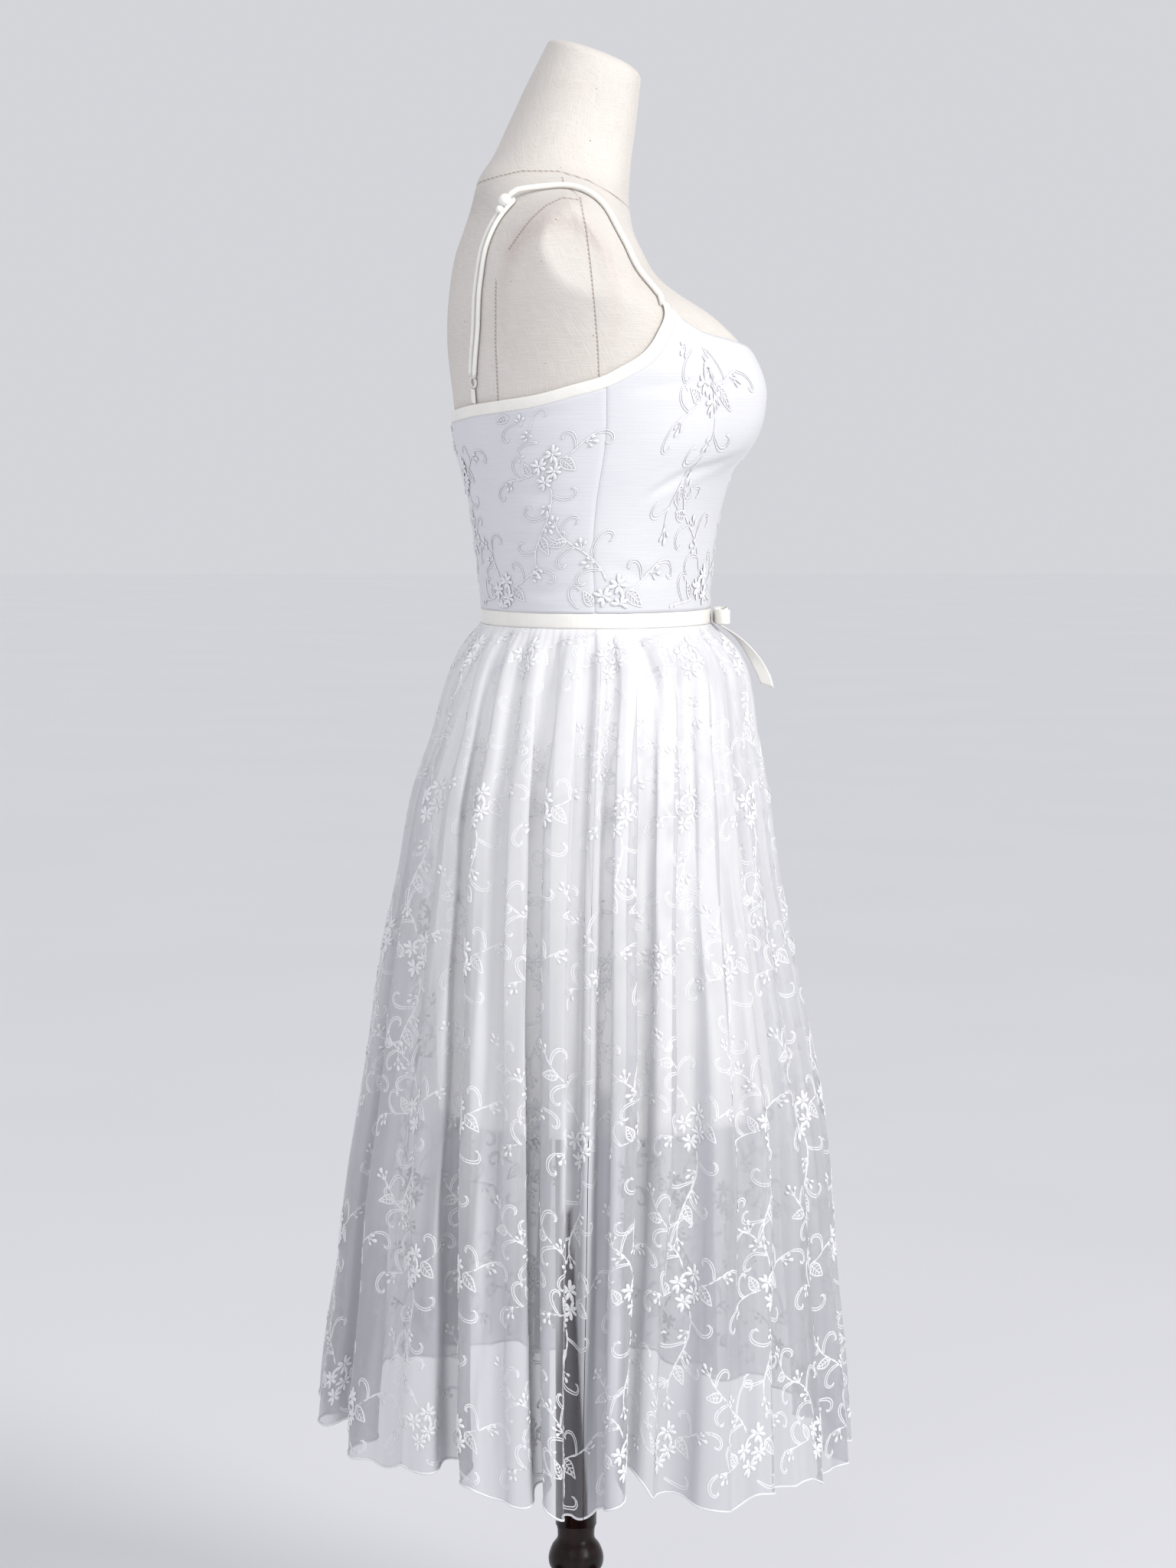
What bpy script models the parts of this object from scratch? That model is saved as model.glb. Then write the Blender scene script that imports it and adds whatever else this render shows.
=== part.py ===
# Sleeveless dress of embroidered organza on a limbless dress form with a turned wooden stand.
# Metres, +Z up. The origin is on the floor under the pole. The front faces -Y and the
# wearer's right side is -X.

import math

import bmesh
import bpy
import numpy as np
from mathutils import Vector
from mathutils.bvhtree import BVHTree

# Driving dimensions
SEAM_GAP = 0.0003
FORM_BOTTOM = 0.760
FORM_LIFT = -0.0005
EXTRA_RINGS = (0.9425, 0.9900, 1.0300, 1.1050)
NECK_TOP_TILT = 0.345
ARM_PLATE_X = 0.170
BUST_X = 0.080
BUST_SPREAD = 0.048
BUST_START = 0.06
BUST_FADE = 0.3
CUP_BRIDGE = 0.38
FORM_STEP = 12.0

BAND_BOTTOM = 1.0150
BAND_TOP = 1.0286
BAND_LIFT = 0.0006
BAND_WALL = 0.0030
BAND_STEP = 7.5
WAIST_RADIUS = 0.115
BODICE_LIFT = 0.0014
BODICE_WALL = 0.0014
BODICE_SIDE_RADIUS = 0.148
STRAP_POINT_ANGLE = 53.7
CLOSEST_STATIONS = 1.0
BINDING_LIFT = 0.0008
BINDING_WALL = 0.0025
BINDING_WIDTH = 0.0100
BINDING_POINT_SHARE = 0.55
BINDING_POINT_SPAN = 9.0
CENTRE_BACK = 180.0
CENTRE_BACK_EDGE = 179.92
LINING_LIFT = 0.0008
LINING_WALL = 0.0012
LINING_HIP = 0.850
LINING_HEM = 0.592
SKIRT_WALL = 0.0012
SKIRT_TOP = BAND_BOTTOM - SEAM_GAP
HEM_MIDDLE = 0.302
HEM_TILT = 0.075
HEM_RISE_IN_GROOVE = 0.010
FOLD_SPREAD = 0.8

STRAP_RADIUS = 0.0025
LOOP_RADIUS = 0.0019
LOOP_SPREAD = 0.0028
BUTTON_RADIUS = 0.0056
BUTTON_BELOW_LOOP_TOP = 0.0035
KNOT_RADIUS = 0.0034
KNOT_SPACE = 0.0006
STRAP_CLIMB = (0.0008, 0.0024, 0.0046)
STRAP_LEAD_SHARE = 0.55
STRAP_LEAD_LIFT = 0.0012
STRAP_END_SPACE = 0.0005
RING_RADIUS = 0.0042
RING_WIRE = 0.0011
RING_OPENING = 14.0
TAB_HALF_WIDTH = 0.003
TAB_WALL = 0.0018
TAB_EDGE_SPACE = 0.0012
ON_FORM = 0.0007

POLE_RADIUS = 0.0183
COLUMN_TOP = 0.2112
FOOT_HEIGHT = 0.008
FOOT_RADIUS = 0.017
FOOT_INSET = 0.004
LEG_ANGLES = {1: 120.0, 2: 240.0, 3: 0.0}


def table(columns, rows):
    return {name: np.array([row[i] for row in rows]) for i, name in enumerate(columns)}


# Sections of the torso, from its bottom edge to the neck
FORM = table(
    ("height", "half_width", "side_y", "front_y", "bust", "back_y", "pinch"),
    [
        (0.760, 0.1590, -0.010, -0.1270, 0.0000, 0.1100, 1.00),
        (0.775, 0.1650, -0.010, -0.1330, 0.0000, 0.1170, 1.00),
        (0.800, 0.1685, -0.010, -0.1370, 0.0000, 0.1225, 1.00),
        (0.850, 0.1685, -0.011, -0.1380, 0.0000, 0.1245, 1.00),
        (0.885, 0.1630, -0.013, -0.1360, 0.0000, 0.1180, 1.00),
        (0.920, 0.1500, -0.015, -0.1310, 0.0000, 0.1060, 1.00),
        (0.965, 0.1305, -0.017, -0.1230, 0.0000, 0.0910, 1.00),
        (1.015, 0.1145, -0.017, -0.1156, 0.0000, 0.0800, 1.00),
        (1.045, 0.1170, -0.016, -0.1150, 0.0000, 0.0812, 1.00),
        (1.085, 0.1250, -0.015, -0.1182, 0.0000, 0.0858, 1.00),
        (1.125, 0.1340, -0.018, -0.1262, 0.0010, 0.0915, 1.00),
        (1.150, 0.1395, -0.022, -0.1310, 0.0090, 0.0970, 1.00),
        (1.162, 0.1415, -0.024, -0.1330, 0.0210, 0.1010, 1.00),
        (1.173, 0.1435, -0.025, -0.1338, 0.0295, 0.1030, 1.00),
        (1.186, 0.1455, -0.026, -0.1345, 0.0350, 0.1045, 1.00),
        (1.200, 0.1475, -0.026, -0.1345, 0.0378, 0.1060, 1.00),
        (1.215, 0.1495, -0.026, -0.1340, 0.0390, 0.1075, 1.00),
        (1.233, 0.1525, -0.025, -0.1315, 0.0360, 0.1098, 1.00),
        (1.253, 0.1560, -0.024, -0.1262, 0.0285, 0.1117, 1.00),
        (1.270, 0.1605, -0.022, -0.1180, 0.0190, 0.1120, 1.00),
        (1.283, 0.1655, -0.020, -0.1085, 0.0110, 0.1116, 1.00),
        (1.297, 0.1720, -0.016, -0.0910, 0.0040, 0.1104, 1.05),
        (1.311, 0.1780, -0.012, -0.0745, 0.0000, 0.1088, 1.15),
        (1.337, 0.1870, -0.004, -0.0578, 0.0000, 0.1034, 1.40),
        (1.352, 0.1840, 0.001, -0.0510, 0.0000, 0.0980, 1.60),
        (1.3655, 0.1640, 0.004, -0.0480, 0.0000, 0.0935, 1.60),
        (1.3777, 0.1310, 0.008, -0.0465, 0.0000, 0.0900, 1.40),
        (1.3880, 0.0950, 0.012, -0.0465, 0.0000, 0.0875, 1.15),
        (1.3981, 0.0740, 0.014, -0.0472, 0.0000, 0.0847, 1.00),
        (1.4164, 0.0615, 0.012, -0.0487, 0.0000, 0.0727, 1.00),
        (1.4439, 0.0565, 0.004, -0.0525, 0.0000, 0.0594, 1.00),
        (1.4765, 0.0550, -0.006, -0.0560, 0.0000, 0.0441, 1.00),
    ],
)
NECK_RIM = {"half_width": 0.0525, "front_y": -0.0563, "back_y": 0.0255, "front_height": 1.4837}
NECK_DOME = table(("share", "rise"), [(1.0, 0.0), (0.93, 0.0050), (0.74, 0.0082), (0.40, 0.0094)])

# Top edge of the bodice: angle from centre front, round to centre back
ARMHOLE_EDGE = table(
    ("angle", "height"),
    [
        (STRAP_POINT_ANGLE, 1.2880),
        (58.5, 1.2765),
        (65.2, 1.2640),
        (74.9, 1.2450),
        (83.5, 1.2345),
        (92.2, 1.2260),
        (101.6, 1.2200),
        (115.0, 1.2120),
        (131.6, 1.2070),
        (147.0, 1.2040),
        (165.0, 1.2000),
        (CENTRE_BACK, 1.1985),
    ],
)
NECKLINE = table(
    ("angle", "height"),
    [(0.0, 1.2380), (14.0, 1.2430), (28.0, 1.2515), (40.0, 1.2585), (47.0, 1.2640), (51.0, 1.2730)],
)

# Lining below the hip, its inner face
LINING = table(
    ("height", "half_width", "side_y", "front_y", "back_y"),
    [
        (0.592, 0.1888, -0.020, -0.1708, 0.1170),
        (0.720, 0.1793, -0.016, -0.1553, 0.1213),
        (0.850, 0.1691, -0.011, -0.1386, 0.1251),
    ],
)

# Skirt: the outline of its ridges, and how deep the grooves between them go
SKIRT = table(
    ("height", "half_width", "side_y", "front_y", "back_y", "groove"),
    [
        (0.2800, 0.2725, -0.005, -0.2465, 0.2385, 0.0490),
        (0.3600, 0.2650, -0.005, -0.2400, 0.2310, 0.0450),
        (0.4400, 0.2560, -0.006, -0.2320, 0.2190, 0.0410),
        (0.5380, 0.2460, -0.007, -0.2255, 0.2066, 0.0360),
        (0.6340, 0.2340, -0.008, -0.2119, 0.1890, 0.0300),
        (0.7200, 0.2180, -0.009, -0.1945, 0.1757, 0.0240),
        (0.8000, 0.2040, -0.010, -0.1785, 0.1600, 0.0190),
        (0.8720, 0.1880, -0.012, -0.1690, 0.1460, 0.0160),
        (0.9210, 0.1715, -0.014, -0.1598, 0.1285, 0.0140),
        (0.9550, 0.1570, -0.016, -0.1552, 0.1188, 0.0130),
        (0.9770, 0.1465, -0.017, -0.1500, 0.1105, 0.0115),
        (0.9970, 0.1335, -0.017, -0.1380, 0.0990, 0.0080),
        (1.0060, 0.1255, -0.017, -0.1285, 0.0915, 0.0045),
        (1.0147, 0.1181, -0.017, -0.1192, 0.0836, 0.0000),
    ],
)
SKIRT_LEVELS = (1.0147, 1.0050, 0.9850, 0.9500, 0.8900, 0.8000, 0.6800, 0.5500, 0.4200)

# Gathers of the skirt, one row each: where its ridge and the groove after it start at the
# band and end at the hem, in degrees from centre front, and the groove's share of the depth
FOLD_COLUMNS = ("ridge_top", "ridge_hem", "groove_top", "groove_hem", "share", "steps")
RIGHT_FOLDS = table(
    FOLD_COLUMNS,
    [
        (6.0, 2.0, 12.0, 8.0, 0.80, 2),
        (18.0, 16.0, 26.0, 24.0, 0.45, 3),
        (35.0, 33.0, 43.0, 45.0, 0.50, 3),
        (51.0, 57.0, 58.5, 66.0, 0.75, 3),
        (66.0, 74.0, 72.5, 79.5, 0.90, 2),
        (78.5, 84.5, 84.0, 89.0, 0.85, 2),
        (89.5, 93.0, 94.0, 97.5, 1.00, 2),
        (99.0, 102.0, 104.5, 106.5, 0.80, 2),
        (110.0, 111.0, 115.0, 115.5, 0.85, 2),
        (120.5, 120.0, 126.5, 127.0, 1.00, 2),
        (133.0, 135.0, 139.0, 144.0, 0.90, 3),
        (146.0, 153.0, 154.0, 162.0, 0.75, 3),
        (163.0, 171.0, 171.5, 178.0, 0.85, 2),
    ],
)
LEFT_FOLDS = table(
    FOLD_COLUMNS,
    [
        (-6.0, -6.0, -12.0, -13.0, 0.70, 2),
        (-19.0, -20.0, -27.0, -29.0, 0.60, 3),
        (-34.0, -38.0, -42.0, -46.0, 0.85, 2),
        (-49.0, -53.0, -56.0, -60.0, 0.60, 3),
        (-64.0, -68.0, -71.0, -75.0, 0.90, 2),
        (-77.0, -81.0, -83.0, -87.5, 0.80, 2),
        (-89.0, -93.0, -95.0, -98.5, 1.00, 2),
        (-101.0, -104.0, -107.0, -109.0, 0.70, 2),
        (-113.0, -115.0, -119.0, -121.0, 0.95, 2),
        (-125.0, -128.0, -132.0, -136.0, 0.75, 3),
        (-139.0, -144.0, -146.0, -151.0, 0.90, 2),
        (-153.0, -158.0, -160.0, -165.0, 0.80, 2),
        (-167.0, -172.0, -175.0, -177.5, 0.60, 2),
    ],
)
RIGHT_SEAM_FOLD = 6
LEFT_SEAM_FOLD = 6

# Straps: places on the wearer's right, from the strap point to the button, and on to the ring
FRONT_STRAP_ROUTE = [
    (-0.1330, -0.0712, 1.2945),
    (-0.1300, -0.0603, 1.3108),
    (-0.1260, -0.0454, 1.3318),
    (-0.1210, -0.0287, 1.3547),
    (-0.1160, -0.0120, 1.3735),
    (-0.1120, 0.0000, 1.3815),
    (-0.1100, 0.0137, 1.3835),
    (-0.1100, 0.0323, 1.3790),
    (-0.1110, 0.0445, 1.3745),
]
BACK_LOOP_ROUTE = [
    (-0.1120, 0.0530, 1.3700),
    (-0.1130, 0.0640, 1.3560),
    (-0.1120, 0.0716, 1.3305),
    (-0.1080, 0.0781, 1.2986),
    (-0.1010, 0.0833, 1.2667),
    (-0.0930, 0.0873, 1.2420),
    (-0.0885, 0.0890, 1.2270),
]

# Bow at centre front, seen from above for the loops and from the side for the tails
BOW_KNOT_SIZE = (0.011, 0.008, 0.014)
BOW_KNOT_PLACE = (0.0, -0.1237, 1.0212)
BOW_KNOT_EDGE = 0.0024
BOW_RIBBON = 0.0125
BOW_WALL = 0.0010
BOW_LOOP_MIDDLE = (0.017, -0.127)
TAIL_ROOT = 0.0030
TAIL_SPREAD = 0.0032
TAIL_SLANT = 0.0035
BOW_LOOP_PATH = [
    (0.0062, -0.1212),
    (0.0150, -0.1216),
    (0.0240, -0.1225),
    (0.0300, -0.1262),
    (0.0290, -0.1320),
    (0.0210, -0.1332),
    (0.0120, -0.1300),
    (0.0062, -0.1262),
]
BOW_TAIL_PATH = [
    (0.0035, -0.1262, 1.0132),
    (0.0060, -0.1420, 1.0020),
    (0.0095, -0.1545, 0.9870),
    (0.0120, -0.1620, 0.9740),
    (0.0140, -0.1672, 0.9620),
]

# Turned column of the stand: radius and height, top to bottom
COLUMN = table(
    ("radius", "height"),
    [
        (0.0001, 0.2112),
        (0.0180, 0.2112),
        (0.0166, 0.2040),
        (0.0168, 0.1960),
        (0.0215, 0.1890),
        (0.0245, 0.1800),
        (0.0238, 0.1715),
        (0.0195, 0.1640),
        (0.0250, 0.1580),
        (0.0270, 0.1480),
        (0.0262, 0.1100),
        (0.0200, 0.0960),
        (0.0120, 0.0900),
        (0.0140, 0.0820),
        (0.0090, 0.0740),
        (0.0001, 0.0720),
    ],
)
LEG = table(
    ("reach", "height", "radius"),
    [
        (0.0000, 0.1490, 0.0160),
        (0.0100, 0.1492, 0.0170),
        (0.0220, 0.1492, 0.0180),
        (0.0420, 0.1440, 0.0172),
        (0.0680, 0.1210, 0.0142),
        (0.0980, 0.0800, 0.0117),
        (0.1280, 0.0460, 0.0100),
        (0.1580, 0.0268, 0.0100),
        (0.1800, 0.0209, 0.0130),
    ],
)
LEG_START = 0.0274

# Rows of the bodice, as shares of its height, and of the lining
BODICE_SHARES = (1.0, 0.92, 0.84, 0.76, 0.68, 0.61, 0.54, 0.38, 0.19, 0.0)
LINING_LEVELS = (SKIRT_TOP - SEAM_GAP, 0.985, 0.950, 0.918, 0.885, LINING_HIP, 0.750, LINING_HEM)


def clear_scene():
    for obj in list(bpy.data.objects):
        bpy.data.objects.remove(obj, do_unlink=True)


def material(name, colour, roughness):
    made = bpy.data.materials.new(name)
    made.use_nodes = True
    shader = made.node_tree.nodes["Principled BSDF"]
    shader.inputs["Base Color"].default_value = (*colour, 1.0)
    shader.inputs["Roughness"].default_value = roughness
    shader.inputs["Metallic"].default_value = 0.0
    return made


def read(tab, name, at, key="height"):
    """The column `name` of a table at the places `at`, on a smooth curve through its rows."""
    xs, ys = tab[key], tab[name]
    slopes = np.gradient(ys, xs)
    at = np.clip(at, xs[0], xs[-1])
    i = np.clip(np.searchsorted(xs, at) - 1, 0, len(xs) - 2)
    width = xs[i + 1] - xs[i]
    t = (at - xs[i]) / width
    return (
        (2 * t**3 - 3 * t**2 + 1) * ys[i]
        + (t**3 - 2 * t**2 + t) * width * slopes[i]
        + (3 * t**2 - 2 * t**3) * ys[i + 1]
        + (t**3 - t**2) * width * slopes[i + 1]
    )


# The form's surface, by the angle from centre front (towards the wearer's right) and height


def form_point(angle, height, bridge=0.0):
    turn, lean = math.sin(angle), math.cos(angle)
    side = read(FORM, "side_y", height)
    far = read(FORM, "front_y" if lean > 0 else "back_y", height)
    pinched = math.copysign(abs(lean) ** read(FORM, "pinch", height), lean)
    x = -read(FORM, "half_width", height) * turn
    y = side - abs(far - side) * pinched
    mound = math.exp(-(((abs(x) - BUST_X) / BUST_SPREAD) ** 2))
    if abs(x) < BUST_X:
        mound += (1.0 - mound) * bridge
    y -= read(FORM, "bust", height) * mound * min(1.0, max(0.0, (lean - BUST_START) / BUST_FADE))
    return Vector((min(ARM_PLATE_X, max(-ARM_PLATE_X, x)), y, height))


def on_form(degrees, height, lift, bridge=0.0):
    """A point `lift` outside the form."""
    angle, step = math.radians(degrees), 0.02
    round_it = form_point(angle + step, height, bridge) - form_point(angle - step, height, bridge)
    up_it = form_point(angle, height + 0.003, bridge) - form_point(angle, height - 0.003, bridge)
    return form_point(angle, height, bridge) + up_it.cross(round_it).normalized() * lift


def section_point(tab, degrees, height):
    angle = math.radians(degrees)
    side = read(tab, "side_y", height)
    far = read(tab, "front_y" if math.cos(angle) > 0 else "back_y", height)
    x = -read(tab, "half_width", height) * math.sin(angle)
    return Vector((x, side - abs(far - side) * math.cos(angle), height))


# Meshes


def finish(name, mesh, collection, finish_material, smooth=True):
    obj = bpy.data.objects.new(name, mesh)
    collection.objects.link(obj)
    mesh.materials.append(finish_material)
    if smooth:
        mesh.shade_smooth()
    return obj


def loft(sections, closed=False, capped=False):
    """A bmesh skin through rows of points, each row as long as the others. Faces look away
    from the dress's own middle line."""
    work = bmesh.new()
    row = [work.verts.new(p) for p in sections[0]]
    pairs = list(zip(row, row[1:] + row[:1])) if closed else list(zip(row, row[1:]))
    edges = [work.edges.new(pair) for pair in pairs]
    first_edges = list(edges)
    for section in sections[1:]:
        grown = bmesh.ops.extrude_edge_only(work, edges=edges)["geom"]
        fresh = {item for item in grown if isinstance(item, bmesh.types.BMVert)}
        sides = [item for item in grown if isinstance(item, bmesh.types.BMEdge)]
        edges = [side for side in sides if set(side.verts) <= fresh]
        row = [next(e.other_vert(v) for e in v.link_edges if e.other_vert(v) in fresh) for v in row]
        for vert, place in zip(row, section):
            vert.co = place
    if capped:
        bmesh.ops.edgeloop_fill(work, edges=first_edges)
        bmesh.ops.edgeloop_fill(work, edges=edges)
        bmesh.ops.recalc_face_normals(work, faces=work.faces)
    return work


def face_outwards(work, middle):
    """Turns an open skin so that its faces look away from the point `middle` at their height."""
    work.normal_update()
    score = 0.0
    for face in work.faces:
        centre = face.calc_center_median()
        away = centre - Vector((middle[0], middle[1], centre.z))
        score += face.calc_area() * face.normal.dot(away)
    if score < 0:
        bmesh.ops.reverse_faces(work, faces=work.faces)


def to_mesh(work, name):
    mesh = bpy.data.meshes.new(name)
    work.to_mesh(mesh)
    work.free()
    return mesh


def cloth(name, sections, wall, collection, finish_material, closed=False, middle=(0.0, -0.01), grow=1.0):
    """A wall of cloth that grows outwards from the skin through its sections, or inwards
    where grow is -1."""
    work = loft(sections, closed=closed)
    face_outwards(work, middle)
    obj = finish(name, to_mesh(work, name), collection, finish_material)
    shell = obj.modifiers.new("wall", "SOLIDIFY")
    shell.thickness = wall
    shell.offset = grow
    shell.use_even_offset = True
    shell.use_rim = True
    return obj


def tube(name, points, radius, collection, finish_material, sides=2, taper=None):
    """A round cord or leg: a curve with a bevel and filled caps."""
    data = bpy.data.curves.new(name, "CURVE")
    data.dimensions = "3D"
    data.bevel_depth = radius
    data.bevel_resolution = sides
    data.use_fill_caps = True
    spline = data.splines.new("POLY")
    spline.points.add(len(points) - 1)
    for i, place in enumerate(points):
        spline.points[i].co = (*place, 1.0)
        spline.points[i].radius = taper[i] if taper else 1.0
    data.materials.append(finish_material)
    obj = bpy.data.objects.new(name, data)
    collection.objects.link(obj)
    return obj


def smooth_path(points, count):
    """`count` points evenly along a smooth curve through the given ones."""
    points = [Vector(p) for p in points]
    ends = [points[0] * 2 - points[1]] + points + [points[-1] * 2 - points[-2]]
    fine = []
    for a, b, c, d in zip(ends, ends[1:], ends[2:], ends[3:]):
        for k in range(12):
            t = k / 12.0
            pull = (c - a) * t + (a * 2 - b * 5 + c * 4 - d) * t**2 + (b * 3 - a - c * 3 + d) * t**3
            fine.append(b + pull * 0.5)
    fine.append(points[-1])
    lengths = np.cumsum([0.0] + [(b - a).length for a, b in zip(fine, fine[1:])])
    table_of = np.array(fine)
    wanted = np.linspace(0.0, lengths[-1], count)
    return [Vector([float(np.interp(s, lengths, table_of[:, k])) for k in range(3)]) for s in wanted]


# Torso


def ring(degrees_step, height, lift=0.0):
    return [on_form(d, height, lift) for d in np.arange(0.0, 360.0, degrees_step)]


def neck_ring(share, rise, degrees_step):
    low, high = NECK_RIM["front_y"], NECK_RIM["back_y"]
    middle, half = (low + high) / 2.0, (high - low) / 2.0
    points = []
    for d in np.arange(0.0, 360.0, degrees_step):
        angle = math.radians(d)
        y = middle - half * share * math.cos(angle)
        height = NECK_RIM["front_height"] + NECK_TOP_TILT * (y - low) + rise
        points.append(Vector((-NECK_RIM["half_width"] * share * math.sin(angle), y, height)))
    return points


def build_form(collection, linen):
    heights = sorted([*FORM["height"], *EXTRA_RINGS])
    rings = [ring(FORM_STEP, height, FORM_LIFT) for height in heights]
    for share, rise in zip(NECK_DOME["share"], NECK_DOME["rise"]):
        rings.append(neck_ring(share, rise, FORM_STEP))
    work = loft(rings, closed=True, capped=True)
    return finish("form_body", to_mesh(work, "form_body"), collection, linen)


# Bodice and its bindings


def across_form(degrees, height):
    """Metres for each degree and each metre of height, on the form there."""
    round_it = (on_form(degrees + 1, height, 0.0) - on_form(degrees - 1, height, 0.0)).length / 2.0
    up_it = (on_form(degrees, height + 0.004, 0.0) - on_form(degrees, height - 0.004, 0.0)).length / 0.008
    return round_it, up_it


def binding_lines():
    """The binding's outer line along the armhole edge and its inner line, as (angle, height)."""
    to_side = np.linspace(STRAP_POINT_ANGLE, 90.0, 9)
    angles = np.concatenate([to_side, np.linspace(90.0, CENTRE_BACK, 12)[1:]])
    heights = read(ARMHOLE_EDGE, "height", angles, key="angle")
    slopes = np.gradient(heights, angles)
    slopes[-1] = 0.0
    outer, inner = [], []
    for angle, height, slope in zip(angles, heights, slopes):
        per_degree, per_metre = across_form(angle, height)
        along = Vector((per_degree, slope * per_metre)).normalized()
        widening = (1.0 - BINDING_POINT_SHARE) * (angle - STRAP_POINT_ANGLE) / BINDING_POINT_SPAN
        width = BINDING_WIDTH * min(1.0, BINDING_POINT_SHARE + widening)
        outer.append((angle, height))
        inner.append((angle + along.y * width / per_degree, height - along.x * width / per_metre))
    return outer, inner


def bodice_top(degrees, inner):
    """Height of the bodice's cut edge: the neckline in front, the binding's inner line behind."""
    degrees = abs(degrees)
    start = inner[0][0]
    if degrees < start:
        return min(float(read(NECKLINE, "height", degrees, key="angle")), inner[0][1])
    line = np.array(inner)
    return float(np.interp(degrees, line[:, 0], line[:, 1])) - SEAM_GAP * 1.6


def bodice_sections(angles, inner, shares):
    bottom = BAND_TOP + SEAM_GAP
    sections = []
    for share in shares:
        row = []
        for degrees in angles:
            top = bodice_top(degrees, inner)
            height = bottom + (top - bottom) * share
            row.append(on_form(degrees, height, BODICE_LIFT, CUP_BRIDGE))
        sections.append(row)
    return sections


def build_bodice(collection, embroidered, satin):
    outer, inner = binding_lines()
    start = inner[0][0]
    side = 90.0 - math.degrees(SEAM_GAP * 0.8 / BODICE_SIDE_RADIUS)
    edge_angles = [angle for angle, _ in inner if angle < side - CLOSEST_STATIONS]
    front_half = np.concatenate([np.linspace(0.0, start - 3.0, 8), [start - 0.6], edge_angles, [side]])
    front = np.concatenate([-front_half[:0:-1], front_half])
    behind = CENTRE_BACK - side
    back_half = [behind] + [angle for angle, _ in inner if angle > behind + CLOSEST_STATIONS]
    back_top = back_half + [-angle for angle in back_half[-2::-1]]
    for name, angles in (("bodice_front", front), ("bodice_back", back_top)):
        cloth(name, bodice_sections(angles, inner, BODICE_SHARES), BODICE_WALL, collection, embroidered)
    for side_name, sign in (("right", 1.0), ("left", -1.0)):
        stations = []
        for (a0, h0), (a1, h1) in zip(outer, inner):
            a0, a1 = min(a0, CENTRE_BACK_EDGE), min(a1, CENTRE_BACK_EDGE)
            middle = ((a0 + a1) / 2.0, (h0 + h1) / 2.0)
            across = ((a0, h0), middle, (a1, h1))
            stations.append([on_form(sign * a, h, BINDING_LIFT, CUP_BRIDGE) for a, h in across])
        cloth(f"armhole_binding_{side_name}", stations, BINDING_WALL, collection, satin)


# Skirt and lining


def fold_stations():
    """Lines down the skirt: their angle at the band and at the hem, and how far into a groove
    they lie, going round from just behind the left side seam to the same place again."""
    turns = []
    for folds, sign in ((RIGHT_FOLDS, 1), (LEFT_FOLDS, -1)):
        marks = []
        for i in range(len(folds["share"])):
            steps = int(folds["steps"][i])
            marks.append((folds["ridge_top"][i], folds["ridge_hem"][i], 0.0, steps))
            marks.append((folds["groove_top"][i], folds["groove_hem"][i], folds["share"][i], steps))
        turns.append(marks[::sign])
    return turns[1] + turns[0]


def between(a, b):
    """Lines from mark a up to mark b, on a rounded wave."""
    steps = max(a[3], b[3])
    lines = []
    for k in range(steps):
        t = k / steps
        ease = 0.5 - 0.5 * math.cos(math.pi * t)
        lines.append((a[0] + (b[0] - a[0]) * t, a[1] + (b[1] - a[1]) * t, a[2] + (b[2] - a[2]) * ease))
    return lines


def skirt_lines():
    marks = fold_stations()
    lines, seams = [], {}
    right_mark = len(LEFT_FOLDS["share"]) * 2 + RIGHT_SEAM_FOLD * 2 + 1
    left_mark = (len(LEFT_FOLDS["share"]) - 1 - LEFT_SEAM_FOLD) * 2
    for i, mark in enumerate(marks):
        after = marks[(i + 1) % len(marks)]
        if i == len(marks) - 1:
            after = (after[0] + 360.0, after[1] + 360.0, after[2], after[3])
        if i == right_mark:
            seams["right"] = len(lines)
        if i == left_mark:
            seams["left"] = len(lines)
        lines += between(mark, after)
    return lines, seams


def skirt_point(line, height, turn=0.0):
    top, hem, share = line
    fall = min(1.0, (SKIRT_TOP - height) / (SKIRT_TOP - HEM_MIDDLE))
    degrees = top + (hem - top) * fall**FOLD_SPREAD + turn
    outline = section_point(SKIRT, degrees, height)
    ahead = section_point(SKIRT, degrees + 1.0, height) - section_point(SKIRT, degrees - 1.0, height)
    inwards = ahead.cross(Vector((0.0, 0.0, 1.0))).normalized()
    axis = Vector((0.0, read(SKIRT, "side_y", height), height))
    if inwards.dot(axis - outline) < 0:
        inwards.negate()
    return outline + inwards * read(SKIRT, "groove", height) * share


def hem_height(line):
    """The hem is higher behind than in front, and a little higher in a groove."""
    tilted = HEM_MIDDLE + HEM_TILT * section_point(SKIRT, line[1], HEM_MIDDLE).y
    return tilted + HEM_RISE_IN_GROOVE * line[2]


def skirt_column(line, turn=0.0):
    levels = [*SKIRT_LEVELS, hem_height(line)]
    return [skirt_point(line, height, turn) for height in levels]


def build_skirt(collection, organza):
    lines, seams = skirt_lines()
    count = len(lines)
    hair = math.degrees(SEAM_GAP / 2.0 / WAIST_RADIUS)
    front_count = seams["right"] - seams["left"]
    panels = {
        "skirt_front": [lines[seams["left"] + k] for k in range(front_count + 1)],
        "skirt_back": [lines[(seams["right"] + k) % count] for k in range(count - front_count + 1)],
    }
    for name, chosen in panels.items():
        turns = [hair] + [0.0] * (len(chosen) - 2) + [-hair]
        columns = [skirt_column(line, turn) for line, turn in zip(chosen, turns)]
        cloth(name, columns, SKIRT_WALL, collection, organza, grow=-1.0)


def lining_point(degrees, height):
    if height >= LINING_HIP:
        return on_form(degrees, height, LINING_LIFT)
    return section_point(LINING, degrees, height)


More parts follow.
